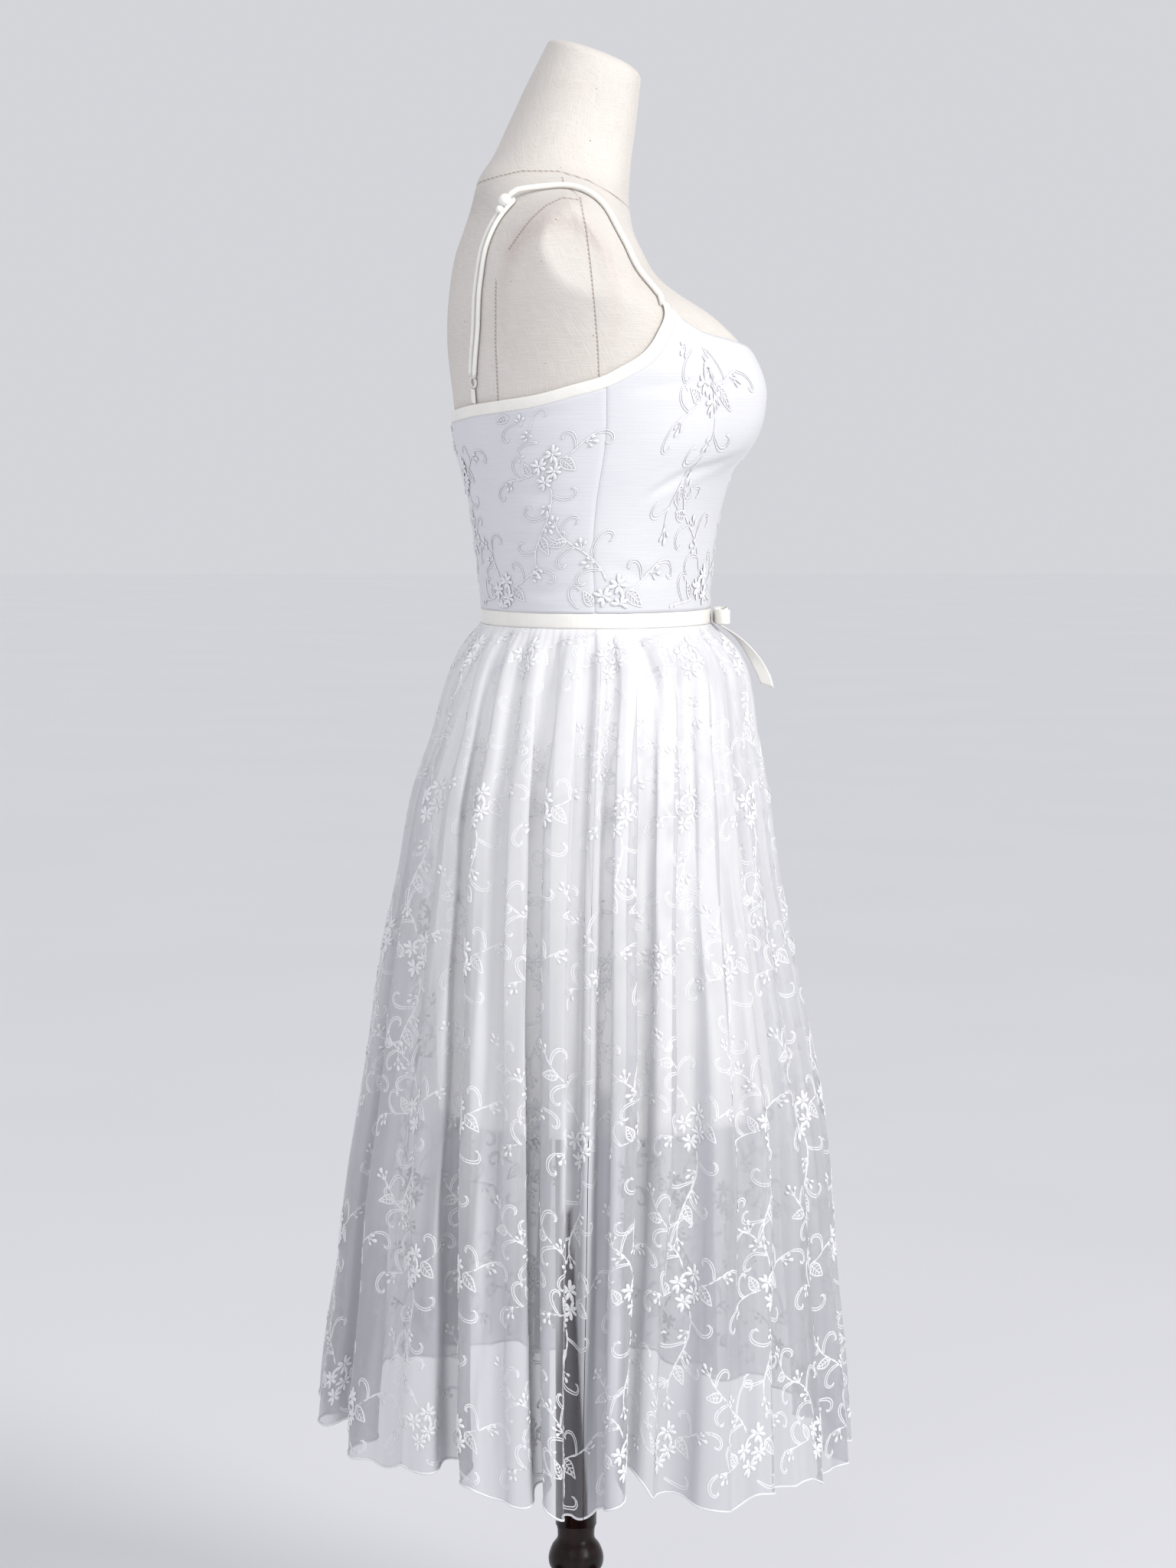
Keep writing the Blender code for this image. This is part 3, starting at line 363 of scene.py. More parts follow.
# Soft creases of the bodice: points by angle from centre front and height, depth and width
BODICE_CREASES = [
    {
        "path": [(32, 1.163), (43, 1.154), (53, 1.147), (61, 1.137), (69, 1.126)],
        "depth": 0.0024,
        "width": 0.0050,
    },
    {"path": [(80, 1.2165), (62, 1.2200), (45, 1.2190)], "depth": 0.0012, "width": 0.0060},
    {"path": [(173, 1.072), (145, 1.080), (118, 1.094)], "depth": 0.0020, "width": 0.0080},
    {"path": [(160, 1.187), (130, 1.191), (100, 1.199)], "depth": 0.0010, "width": 0.0060},
    {"path": [(150, 1.120), (124, 1.131), (99, 1.128)], "depth": 0.0010, "width": 0.0075},
    {"path": [(96, 1.052), (112, 1.045), (132, 1.047)], "depth": 0.0009, "width": 0.0055},
    {"path": [(84, 1.070), (66, 1.059), (48, 1.060)], "depth": 0.0010, "width": 0.0065},
    {"path": [(30, 1.045), (12, 1.040), (-8, 1.043)], "depth": 0.0008, "width": 0.0060},
    {"path": [(-34, 1.162), (-46, 1.152), (-57, 1.144), (-70, 1.130)], "depth": 0.0022, "width": 0.0052},
    {"path": [(-78, 1.2180), (-60, 1.2210), (-47, 1.2185)], "depth": 0.0011, "width": 0.0058},
    {"path": [(-170, 1.080), (-140, 1.089), (-112, 1.086)], "depth": 0.0017, "width": 0.0078},
    {"path": [(-155, 1.183), (-128, 1.188), (-104, 1.196)], "depth": 0.0009, "width": 0.0062},
    {"path": [(-86, 1.064), (-70, 1.056), (-50, 1.062)], "depth": 0.0010, "width": 0.0066},
]
METRES_A_DEGREE = 0.0024

# Straps: places on the wearer's right, from the strap point to the button, and on to the ring
FRONT_STRAP_ROUTE = [
    (-0.1330, -0.0712, 1.2945),
    (-0.1300, -0.0603, 1.3108),
    (-0.1260, -0.0454, 1.3318),
    (-0.1210, -0.0287, 1.3547),
    (-0.1160, -0.0120, 1.3735),
    (-0.1120, 0.0000, 1.3815),
    (-0.1100, 0.0137, 1.3835),
    (-0.1100, 0.0323, 1.3790),
    (-0.1110, 0.0445, 1.3745),
]
BACK_LOOP_ROUTE = [
    (-0.1120, 0.0530, 1.3700),
    (-0.1130, 0.0640, 1.3560),
    (-0.1120, 0.0716, 1.3305),
    (-0.1080, 0.0781, 1.2986),
    (-0.1010, 0.0833, 1.2667),
    (-0.0930, 0.0873, 1.2420),
    (-0.0885, 0.0890, 1.2270),
]

# Bow at centre front, seen from above for the loops and from the side for the tails
BOW_KNOT_SIZE = (0.011, 0.008, 0.014)
BOW_KNOT_PLACE = (0.0, -0.1237, 1.0212)
BOW_RIBBON = 0.0125
BOW_WALL = 0.0007
BOW_LOOP_MIDDLE = (0.017, -0.127)
BOW_LOOP_PATH = [
    (0.0062, -0.1212),
    (0.0150, -0.1216),
    (0.0240, -0.1225),
    (0.0300, -0.1262),
    (0.0290, -0.1320),
    (0.0210, -0.1332),
    (0.0120, -0.1300),
    (0.0062, -0.1262),
]
BOW_TAIL_PATH = [
    (0.0035, -0.1262, 1.0132),
    (0.0060, -0.1420, 1.0020),
    (0.0095, -0.1545, 0.9870),
    (0.0120, -0.1620, 0.9740),
    (0.0140, -0.1672, 0.9620),
]
TAIL_ROOT = 0.0030
TAIL_SPREAD = 0.0032
TAIL_SLANT = 0.0035
TAIL_TWIST = 62.0

COLUMN = table(
    ("radius", "height"),
    [
        (0.0001, 0.2112),
        (0.0180, 0.2112),
        (0.0166, 0.2040),
        (0.0168, 0.1960),
        (0.0215, 0.1890),
        (0.0245, 0.1800),
        (0.0238, 0.1715),
        (0.0195, 0.1640),
        (0.0250, 0.1580),
        (0.0270, 0.1480),
        (0.0262, 0.1100),
        (0.0200, 0.0960),
        (0.0120, 0.0900),
        (0.0140, 0.0820),
        (0.0090, 0.0740),
        (0.0001, 0.0720),
    ],
)
LEG = table(
    ("reach", "height", "radius"),
    [
        (0.0000, 0.1490, 0.0160),
        (0.0100, 0.1492, 0.0170),
        (0.0220, 0.1492, 0.0180),
        (0.0420, 0.1440, 0.0172),
        (0.0680, 0.1210, 0.0142),
        (0.0980, 0.0800, 0.0117),
        (0.1280, 0.0460, 0.0100),
        (0.1580, 0.0268, 0.0100),
        (0.1800, 0.0209, 0.0130),
    ],
)

# One repeat of the embroidery, in metres from its middle, x to the right and y up the cloth.
# Vines run out from the flowers, and the rest grows from a share of the way along a vine
FLOWERS = table(
    ("x", "y", "size", "turn"),
    [
        (-0.0070, 0.0035, 1.00, 12.0),
        (0.0062, 0.0120, 1.04, 40.0),
        (0.0075, -0.0035, 0.92, 25.0),
        (-0.0015, -0.0125, 0.98, 5.0),
    ],
)
PETAL = {"length": 0.0084, "width": 0.0034, "height": 0.0013, "inner": 0.0008}
PETAL_COUNT = 7
VINES = [
    (-0.0040, 0.0160, 104.0, 0.070, 26.0, -48.0),
    (0.0040, -0.0190, -76.0, 0.074, -24.0, 46.0),
    (0.0130, 0.0060, 16.0, 0.036, 26.0, -56.0),
    (-0.0130, -0.0030, 204.0, 0.034, -28.0, 60.0),
]
LEAVES = [
    (2, 0.02, -62.0, 0.0180, 0.0110),
    (3, 0.10, -78.0, 0.0150, 0.0085),
    (1, 0.66, 50.0, 0.0180, 0.0090),
    (0, 0.74, 52.0, 0.0160, 0.0085),
]
SCROLLS = [
    (0, 0.14, 48.0, 0.036, 20.0, 330.0),
    (0, 0.36, -50.0, 0.042, -18.0, -300.0),
    (0, 0.60, 46.0, 0.034, 24.0, 340.0),
    (0, 0.88, -44.0, 0.032, -30.0, -360.0),
    (1, 0.10, 50.0, 0.036, 16.0, 330.0),
    (1, 0.34, -46.0, 0.042, -20.0, -300.0),
    (1, 0.52, 48.0, 0.036, 22.0, 340.0),
    (1, 0.82, -50.0, 0.032, -26.0, -360.0),
    (2, 0.45, 50.0, 0.030, 26.0, 380.0),
    (2, 0.98, -10.0, 0.030, -30.0, -400.0),
    (3, 0.45, -46.0, 0.032, -26.0, -370.0),
    (3, 0.98, 12.0, 0.030, 30.0, 400.0),
]
SCROLL_GAP = 0.0021
FORKS = [
    (0, 0.27, 44.0),
    (0, 0.50, -46.0),
    (0, 0.99, 4.0),
    (1, 0.22, -50.0),
    (1, 0.44, 46.0),
    (1, 0.99, -4.0),
    (2, 0.70, -52.0),
    (3, 0.70, 50.0),
]
# Clusters on the bodice: degrees from centre front and metres down its cloth
BODICE_CLUSTERS = [
    (112.0, 0.060),
    (52.0, 0.048),
    (166.0, 0.058),
    (-8.0, 0.052),
    (-66.0, 0.054),
    (-122.0, 0.060),
    (140.0, 0.178),
    (82.0, 0.184),
    (28.0, 0.182),
    (-34.0, 0.180),
    (-92.0, 0.184),
    (-150.0, 0.180),
]
BUD = {"length": 0.0052, "width": 0.0029, "height": 0.0012, "stalk": 0.0060}
THREAD_RADIUS = 0.00049
THREAD_RISE = 0.65


# Curves through the tables


def read(tab, name, at, key="height"):
    """The column `name` of a table at the places `at`, on a smooth curve through its rows."""
    xs, ys = tab[key], tab[name]
    slopes = np.gradient(ys, xs)
    at = np.clip(at, xs[0], xs[-1])
    i = np.clip(np.searchsorted(xs, at) - 1, 0, len(xs) - 2)
    width = xs[i + 1] - xs[i]
    t = (at - xs[i]) / width
    return (
        (2 * t**3 - 3 * t**2 + 1) * ys[i]
        + (t**3 - 2 * t**2 + t) * width * slopes[i]
        + (3 * t**2 - 2 * t**3) * ys[i + 1]
        + (t**3 - t**2) * width * slopes[i + 1]
    )


def unit(vectors):
    return vectors / np.maximum(np.linalg.norm(vectors, axis=-1, keepdims=True), 1e-12)


def form_point(angle, height, bridge=0.0):
    angle, height = np.broadcast_arrays(np.asarray(angle, float), np.asarray(height, float))
    lean = np.cos(angle)
    side = read(FORM, "side_y", height)
    far = np.where(lean > 0, read(FORM, "front_y", height), read(FORM, "back_y", height))
    pinched = np.sign(lean) * np.abs(lean) ** read(FORM, "pinch", height)
    x = -read(FORM, "half_width", height) * np.sin(angle)
    y = side - np.abs(far - side) * pinched
    mound = np.exp(-(((np.abs(x) - BUST_X) / BUST_SPREAD) ** 2))
    mound = mound + np.where(np.abs(x) < BUST_X, (1.0 - mound) * bridge, 0.0)
    y = y - read(FORM, "bust", height) * mound * np.clip((lean - BUST_START) / BUST_FADE, 0.0, 1.0)
    return np.stack([np.clip(x, -ARM_PLATE_X, ARM_PLATE_X), y, height], axis=-1)


def on_form(degrees, height, lift, bridge=0.0):
    """Points `lift` outside the form."""
    angle, step = np.radians(degrees), 0.02
    height = np.asarray(height, float)
    round_it = form_point(angle + step, height, bridge) - form_point(angle - step, height, bridge)
    up_it = form_point(angle, height + 0.003, bridge) - form_point(angle, height - 0.003, bridge)
    lift = np.asarray(lift, float)[..., None]
    return form_point(angle, height, bridge) + unit(np.cross(up_it, round_it)) * lift


def section_point(tab, degrees, height):
    angle, height = np.broadcast_arrays(np.radians(degrees), np.asarray(height, float))
    side = read(tab, "side_y", height)
    far = np.where(np.cos(angle) > 0, read(tab, "front_y", height), read(tab, "back_y", height))
    x = -read(tab, "half_width", height) * np.sin(angle)
    return np.stack([x, side - np.abs(far - side) * np.cos(angle), height], axis=-1)


def smooth_path(points, count):
    """`count` points evenly along a smooth curve through the given ones."""
    points = [Vector(p) for p in points]
    ends = [points[0] * 2 - points[1]] + points + [points[-1] * 2 - points[-2]]
    fine = []
    for a, b, c, d in zip(ends, ends[1:], ends[2:], ends[3:]):
        for k in range(12):
            t = k / 12.0
            pull = (c - a) * t + (a * 2 - b * 5 + c * 4 - d) * t**2 + (b * 3 - a - c * 3 + d) * t**3
            fine.append(b + pull * 0.5)
    fine.append(points[-1])
    lengths = np.cumsum([0.0] + [(b - a).length for a, b in zip(fine, fine[1:])])
    table_of = np.array(fine)
    wanted = np.linspace(0.0, lengths[-1], count)
    return [Vector([float(np.interp(s, lengths, table_of[:, k])) for k in range(3)]) for s in wanted]


# Meshes


def to_mesh(work, name):
    mesh = bpy.data.meshes.new(name)
    work.to_mesh(mesh)
    work.free()
    return mesh


def set_uv(mesh, uv_of_point):
    layer = mesh.uv_layers.new(name="UVMap")
    corners = np.empty(len(mesh.loops), np.int32)
    mesh.loops.foreach_get("vertex_index", corners)
    layer.uv.foreach_set("vector", uv_of_point.reshape(-1, 2)[corners].astype(np.float32).reshape(-1))


def set_value(mesh, name, values):
    made = mesh.attributes.new(name, "FLOAT", "POINT")
    made.data.foreach_set("value", np.asarray(values, np.float32).reshape(-1))


def face_out(mesh, middle=(0.0, -0.01)):
    """Turns an open skin so that its faces look away from the upright line through `middle`."""
    mesh.update()
    count = len(mesh.polygons)
    normals, centres, areas = np.empty(count * 3), np.empty(count * 3), np.empty(count)
    mesh.polygons.foreach_get("normal", normals)
    mesh.polygons.foreach_get("center", centres)
    mesh.polygons.foreach_get("area", areas)
    away = centres.reshape(-1, 3)[:, :2] - np.array(middle)
    if (areas * (normals.reshape(-1, 3)[:, :2] * away).sum(axis=1)).sum() < 0:
        mesh.flip_normals()


def skin(name, points, uv=None, values=None, middle=(0.0, -0.01)):
    """An open sheet over rows of points, with its UV in metres."""
    rows, columns = points.shape[:2]
    work = bmesh.new()
    bmesh.ops.create_grid(work, x_segments=columns - 1, y_segments=rows - 1, size=0.5)
    mesh = to_mesh(work, name)
    mesh.vertices.foreach_set("co", points.reshape(-1).astype(np.float32))
    if uv is None:
        uv = np.stack([arc_along(points, 1), arc_along(points, 0)], axis=-1)
    set_uv(mesh, uv)
    for key, found in (values or {}).items():
        set_value(mesh, key, found)
    face_out(mesh, middle)
    return mesh


def arc_along(points, axis):
    """Distance along the rows (axis 1) or down the columns (axis 0) of a grid of points."""
    steps = np.linalg.norm(np.diff(points, axis=axis), axis=-1)
    start = np.zeros_like(np.take(steps, [0], axis=axis))
    return np.cumsum(np.concatenate([start, steps], axis=axis), axis=axis)


def closed_skin(name, points, uv=None, capped=True, values=None):
    """A sheet whose rows run right round, joined to a closed body with filled ends."""
    ring_first = np.concatenate([points, points[:, :1]], axis=1)
    if uv is None:
        uv = np.stack([arc_along(ring_first, 1), arc_along(ring_first, 0)], axis=-1)
    if values:
        values = {key: np.concatenate([v, v[:, :1]], axis=1) for key, v in values.items()}
    mesh = skin(name, ring_first, uv, values)
    work = bmesh.new()
    work.from_mesh(mesh)
    bpy.data.meshes.remove(mesh)
    bmesh.ops.remove_doubles(work, verts=work.verts, dist=1e-7)
    if capped:
        bmesh.ops.holes_fill(work, edges=[e for e in work.edges if e.is_boundary], sides=0)
    bmesh.ops.recalc_face_normals(work, faces=work.faces)
    return to_mesh(work, name)


def settle(name, mesh, finish, replaces=(), wall=0.0, grow=1.0):
    """Puts a finished mesh in the scene as a piece of the dress or its stand."""
    piece = bpy.data.objects.new(name, mesh)
    bpy.context.scene.collection.objects.link(piece)
    mesh.materials.append(finish)
    mesh.shade_smooth()
    if wall:
        shell = piece.modifiers.new("wall", "SOLIDIFY")
        shell.thickness = wall
        shell.offset = grow
        shell.use_rim = True
    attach(piece, "root")
    if replaces:
        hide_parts(*replaces)
    return piece


def frames_along(path):
    """Two directions across a path at each of its points, carried along it without twist."""
    path = [Vector(p) for p in path]
    ways = [(b - a).normalized() for a, b in zip(path, path[1:])]
    ways = [ways[0]] + [(a + b).normalized() for a, b in zip(ways, ways[1:])] + [ways[-1]]
    side = ways[0].orthogonal().normalized()
    sides = []
    for way in ways:
        side = (side - way * side.dot(way)).normalized()
        sides.append((side.copy(), way.cross(side).normalized()))
    return sides


def tube_points(path, radii, sides, squash=None):
    """Rings of points round a path. squash is (direction, share) to press the section flat."""
    rings = []
    for place, (a, b), radius in zip(path, frames_along(path), radii):
        ring = []
        for k in range(sides):
            angle = 2 * math.pi * k / sides
            off = (a * math.cos(angle) + b * math.sin(angle)) * radius
            if squash:
                off -= squash[0] * (off.dot(squash[0]) * (1.0 - squash[1]))
            ring.append(Vector(place) + off)
        rings.append(ring)
    return np.array([[tuple(p) for p in ring] for ring in rings])


def flipped(points, flip):
    points = np.array(points, float)
    points[..., 0] *= flip
    return points


# Shader nodes


def put(tree, kind, inputs=(), **settings):
    """Adds a node with its settings, and sets or links the inputs given by name or number."""
    made = tree.nodes.new(kind)
    for key, value in settings.items():
        setattr(made, key, value)
    for key, value in dict(inputs).items():
        if isinstance(value, bpy.types.NodeSocket):
            tree.links.new(value, made.inputs[key])
        else:
            made.inputs[key].default_value = value
    return made


def maths(tree, operation, a, b=0.0, c=0.0, clamp=False):
    return put(tree, "ShaderNodeMath", {0: a, 1: b, 2: c}, operation=operation, use_clamp=clamp).outputs[0]


def blend_colour(tree, share, low, high):
    made = put(tree, "ShaderNodeMix", {0: share}, data_type="RGBA")
    for socket, value in ((6, low), (7, high)):
        if isinstance(value, bpy.types.NodeSocket):
            tree.links.new(value, made.inputs[socket])
        else:
            made.inputs[socket].default_value = (*value, 1.0)
    return made.outputs[2]


def ranged(tree, value, low, high, new_low=0.0, new_high=1.0):
    named = {"Value": value, "From Min": low, "From Max": high, "To Min": new_low, "To Max": new_high}
    return put(tree, "ShaderNodeMapRange", named).outputs[0]


def new_group(name, inputs, outputs):
    tree = bpy.data.node_groups.new(name, "ShaderNodeTree")
    for label, kind, value in inputs:
        made = tree.interface.new_socket(label, in_out="INPUT", socket_type=kind)
        if value is not None:
            made.default_value = value
    for label, kind in outputs:
        tree.interface.new_socket(label, in_out="OUTPUT", socket_type=kind)
    return tree, put(tree, "NodeGroupInput"), put(tree, "NodeGroupOutput")


def threads_group():
    """Weave of a cloth: its crossing threads, and its thick and thin places along each way."""
    tree, given, out = new_group(
        "threads",
        [
            ("Place", "NodeSocketVector", None),
            ("Threads a metre", "NodeSocketFloat", 1000.0),
            ("Slub length", "NodeSocketFloat", 0.03),
            ("Slub width", "NodeSocketFloat", 0.0008),
        ],
        [
            ("Weave", "NodeSocketFloat"),
            ("Slubs across", "NodeSocketFloat"),
            ("Slubs down", "NodeSocketFloat"),
        ],
    )
    split = put(tree, "ShaderNodeSeparateXYZ", {0: given.outputs["Place"]})
    across, down = split.outputs[0], split.outputs[1]
    turn = maths(tree, "MULTIPLY", given.outputs["Threads a metre"], math.pi)
    wave_across = maths(tree, "SINE", maths(tree, "MULTIPLY", across, turn))
    wave_down = maths(tree, "SINE", maths(tree, "MULTIPLY", down, turn))
    crossing = maths(tree, "MULTIPLY", wave_across, wave_down)
    tree.links.new(maths(tree, "MULTIPLY_ADD", crossing, 0.5, 0.5), out.inputs["Weave"])
    for label, long_way, short_way in (("Slubs across", across, down), ("Slubs down", down, across)):
        along = maths(tree, "DIVIDE", long_way, given.outputs["Slub length"])
        beside = maths(tree, "DIVIDE", short_way, given.outputs["Slub width"])
        place = put(tree, "ShaderNodeCombineXYZ", {0: along, 1: beside})
        noise = put(
            tree,
            "ShaderNodeTexNoise",
            {"Vector": place.outputs[0], "Scale": 1.0, "Detail": 0.0},
            noise_dimensions="2D",
        )
        tree.links.new(ranged(tree, noise.outputs[0], 0.28, 0.72), out.inputs[label])
    return tree


def mottle_group():
    """Slow change of tone over a surface, with a fine grain in it."""
    tree, given, out = new_group(
        "mottle",
        [
            ("Place", "NodeSocketVector", None),
            ("Patches a metre", "NodeSocketFloat", 12.0),
            ("Grains a metre", "NodeSocketFloat", 900.0),
        ],
        [("Patches", "NodeSocketFloat"), ("Grains", "NodeSocketFloat")],
    )
    for label, key, detail in (("Patches", "Patches a metre", 1.5), ("Grains", "Grains a metre", 1.0)):
        noise = put(
            tree,
            "ShaderNodeTexNoise",
            {"Vector": given.outputs["Place"], "Scale": given.outputs[key], "Detail": detail},
        )
        tree.links.new(ranged(tree, noise.outputs[0], 0.3, 0.7), out.inputs[label])
    return tree


THREADS = threads_group()
MOTTLE = mottle_group()


def placed(tree, group, **inputs):
    made = tree.nodes.new("ShaderNodeGroup")
    made.node_tree = group
    for key, value in inputs.items():
        socket = made.inputs[key.replace("_", " ")]
        if isinstance(value, bpy.types.NodeSocket):
            tree.links.new(value, socket)
        else:
            socket.default_value = value
    return made.outputs


def start_material(name, **constants):
    made = bpy.data.materials.new(name)
    made.use_nodes = True
    tree = made.node_tree
    shader = tree.nodes["Principled BSDF"]
    for key, value in constants.items():
        shader.inputs[key.replace("_", " ")].default_value = value
    return made, tree, shader


def on_uv(tree):
    return put(tree, "ShaderNodeTexCoord").outputs["UV"]


def on_object(tree):
    return put(tree, "ShaderNodeTexCoord").outputs["Object"]


def relief(tree, shader, height, depth, strength=1.0):
    bump = put(tree, "ShaderNodeBump", {"Height": height, "Strength": strength, "Distance": depth})
    tree.links.new(bump.outputs[0], shader.inputs["Normal"])


def organza_finish():
    made, tree, shader = start_material("sheer organza", Sheen_Weight=0.30, Sheen_Roughness=0.4)
    cloth = placed(tree, THREADS, Place=on_uv(tree), Threads_a_metre=4200.0)
    # The organza runs from dark grey to pale white by its tone: random streaks, the gathering near the band,
    # and painted shade that darkens the lower skirt
    tone = put(tree, "ShaderNodeAttribute", attribute_name="tone").outputs["Fac"]
    colour = blend_colour(tree, tone, (0.46, 0.462, 0.495), (0.83, 0.832, 0.855))
    tree.links.new(colour, shader.inputs["Base Color"])
    cover = put(tree, "ShaderNodeAttribute", attribute_name="cover").outputs["Fac"]
    least = maths(tree, "SUBTRACT", cover, 0.05)
    woven = maths(tree, "MULTIPLY_ADD", cloth["Weave"], 0.10, least, clamp=True)
    tree.links.new(woven, shader.inputs["Alpha"])
    tree.links.new(ranged(tree, cloth["Weave"], 0.0, 1.0, 0.45, 0.65), shader.inputs["Roughness"])
    return made


def bodice_finish():
    made, tree, shader = start_material("organza on satin", Sheen_Weight=0.25, Sheen_Roughness=0.4)
    cloth = placed(
        tree, THREADS, Place=on_uv(tree), Threads_a_metre=1500.0, Slub_length=0.05, Slub_width=0.0012
    )
    slow = placed(tree, MOTTLE, Place=on_object(tree), Patches_a_metre=14.0)
    streaks = maths(tree, "MULTIPLY", cloth["Slubs across"], 0.25)
    tone = maths(tree, "MULTIPLY_ADD", slow["Patches"], 0.75, streaks)
    colour = blend_colour(tree, tone, (0.665, 0.667, 0.693), (0.715, 0.717, 0.74))
    tree.links.new(colour, shader.inputs["Base Color"])
    tree.links.new(ranged(tree, cloth["Slubs down"], 0.0, 1.0, 0.42, 0.56), shader.inputs["Roughness"])
    weave = maths(tree, "MULTIPLY", cloth["Weave"], 0.3)
    height = maths(tree, "MULTIPLY_ADD", cloth["Slubs across"], 0.7, weave)
    relief(tree, shader, height, 0.0003, 0.28)
    return made


def satin_finish(name, light, dark, roughness, glow=0.0):
    """Satin. glow stands for the light that sheer cloth in front scatters on to it."""
    made, tree, shader = start_material(name, Sheen_Weight=0.15, Sheen_Roughness=0.35, Emission_Strength=glow)
    cloth = placed(
        tree, THREADS, Place=on_uv(tree), Threads_a_metre=1800.0, Slub_length=0.02, Slub_width=0.0009
    )
    slow = placed(tree, MOTTLE, Place=on_object(tree), Patches_a_metre=60.0)
    streaks = maths(tree, "MULTIPLY", cloth["Slubs across"], 0.4)
    tone = maths(tree, "MULTIPLY_ADD", slow["Patches"], 0.6, streaks)
    tree.links.new(blend_colour(tree, tone, dark, light), shader.inputs["Base Color"])
    rough = ranged(tree, cloth["Slubs across"], 0.0, 1.0, roughness, roughness + 0.12)
    tree.links.new(rough, shader.inputs["Roughness"])
    height = maths(tree, "MULTIPLY_ADD", slow["Patches"], 0.8, maths(tree, "MULTIPLY", cloth["Weave"], 0.2))
    relief(tree, shader, height, 0.0005, 0.35)
    return made


def thread_finish():
    made, tree, shader = start_material("embroidery thread", Sheen_Weight=0.3, Sheen_Roughness=0.4)
    stitches = placed(
        tree, THREADS, Place=on_uv(tree), Threads_a_metre=3000.0, Slub_length=0.004, Slub_width=0.0004
    )
    tone = maths(tree, "MULTIPLY_ADD", stitches["Slubs down"], 0.7, 0.2)
    colour = blend_colour(tree, tone, (0.73, 0.73, 0.755), (0.83, 0.83, 0.845))
    tree.links.new(colour, shader.inputs["Base Color"])
    tree.links.new(ranged(tree, stitches["Slubs down"], 0.0, 1.0, 0.38, 0.55), shader.inputs["Roughness"])
    relief(tree, shader, stitches["Slubs down"], 0.00015, 0.3)
    return made


def linen_finish():
    made, tree, shader = start_material("natural linen", Sheen_Weight=0.12, Sheen_Roughness=0.6)
    cloth = placed(
        tree, THREADS, Place=on_uv(tree), Threads_a_metre=1300.0, Slub_length=0.016, Slub_width=0.0009
    )
    slow = placed(tree, MOTTLE, Place=on_object(tree), Patches_a_metre=11.0, Grains_a_metre=320.0)
    ground = blend_colour(tree, slow["Patches"], (0.61, 0.565, 0.515), (0.68, 0.635, 0.59))
    slubs = maths(tree, "MULTIPLY", maths(tree, "MAXIMUM", cloth["Slubs across"], cloth["Slubs down"]), 0.30)
    ground = blend_colour(tree, slubs, ground, (0.86, 0.83, 0.78))
    spots = put(
        tree,
        "ShaderNodeTexVoronoi",
        {"Vector": on_object(tree), "Scale": 78.0, "Randomness": 1.0},
        feature="F1",
    )
    dark_spot = ranged(tree, spots.outputs["Distance"], 0.030, 0.060, 1.0, 0.0)
    chance = put(tree, "ShaderNodeSeparateColor", {0: spots.outputs["Color"]})
    few = ranged(tree, chance.outputs[0], 0.60, 0.66)
    ground = blend_colour(tree, maths(tree, "MULTIPLY", dark_spot, few), ground, (0.27, 0.19, 0.13))
    # Painted shade: the linen darkens to brown where the form marks the shade round the arm plate and along
    # the arm seam
    painted_shade = put(tree, "ShaderNodeAttribute", attribute_name="painted_shade").outputs["Fac"]
    painted_shade_share = maths(tree, "MULTIPLY", painted_shade, maths(tree, "MULTIPLY_ADD", slow["Grains"], 0.4, 0.4))
    ground = blend_colour(tree, painted_shade_share, ground, (0.50, 0.41, 0.37))
    seam = 1.0
    for k in range(5):
        side = put(tree, "ShaderNodeAttribute", attribute_name=f"seam_{k}").outputs["Fac"]
        seam = maths(tree, "MINIMUM", maths(tree, "ABSOLUTE", side), seam)
    line = ranged(tree, seam, 0.0003, 0.0010, 1.0, 0.0)
    place = put(tree, "ShaderNodeSeparateXYZ", {0: on_object(tree)})
    run = maths(tree, "MULTIPLY_ADD", place.outputs[1], -0.7, place.outputs[2])
    stitch = ranged(tree, maths(tree, "SINE", maths(tree, "MULTIPLY", run, 1900.0)), -0.2, 0.3)
    shade = maths(tree, "MULTIPLY", line, maths(tree, "MULTIPLY_ADD", stitch, 0.55, 0.25))
    tree.links.new(blend_colour(tree, shade, ground, (0.30, 0.22, 0.17)), shader.inputs["Base Color"])
    tree.links.new(ranged(tree, cloth["Weave"], 0.0, 1.0, 0.82, 0.92), shader.inputs["Roughness"])
    height = maths(tree, "MULTIPLY_ADD", cloth["Weave"], 0.35, maths(tree, "MULTIPLY", slubs, 1.2))
    height = maths(tree, "SUBTRACT", height, maths(tree, "MULTIPLY", line, 1.6))
    relief(tree, shader, height, 0.0005, 0.7)
    return made


def wood_finish():
    made, tree, shader = start_material("dark polished wood", Coat_Roughness=0.16, Specular_IOR_Level=0.18)
    place = on_object(tree)
    long_grain = put(tree, "ShaderNodeMapping", {0: place, 3: (60.0, 60.0, 6.0)})
    grain = put(tree, "ShaderNodeTexNoise", {"Vector": long_grain.outputs[0], "Scale": 3.0, "Detail": 5.0})
    slow = placed(tree, MOTTLE, Place=place, Patches_a_metre=40.0, Grains_a_metre=700.0)
    streak = ranged(tree, grain.outputs[0], 0.35, 0.7)
    colour = blend_colour(tree, streak, (0.006, 0.002, 0.0015), (0.020, 0.007, 0.005))
    tree.links.new(colour, shader.inputs["Base Color"])
    tree.links.new(ranged(tree, slow["Patches"], 0.0, 1.0, 0.22, 0.38), shader.inputs["Roughness"])
    tree.links.new(ranged(tree, slow["Grains"], 0.0, 1.0, 0.20, 0.12), shader.inputs["Coat Weight"])
    relief(tree, shader, streak, 0.0003, 0.3)
    return made


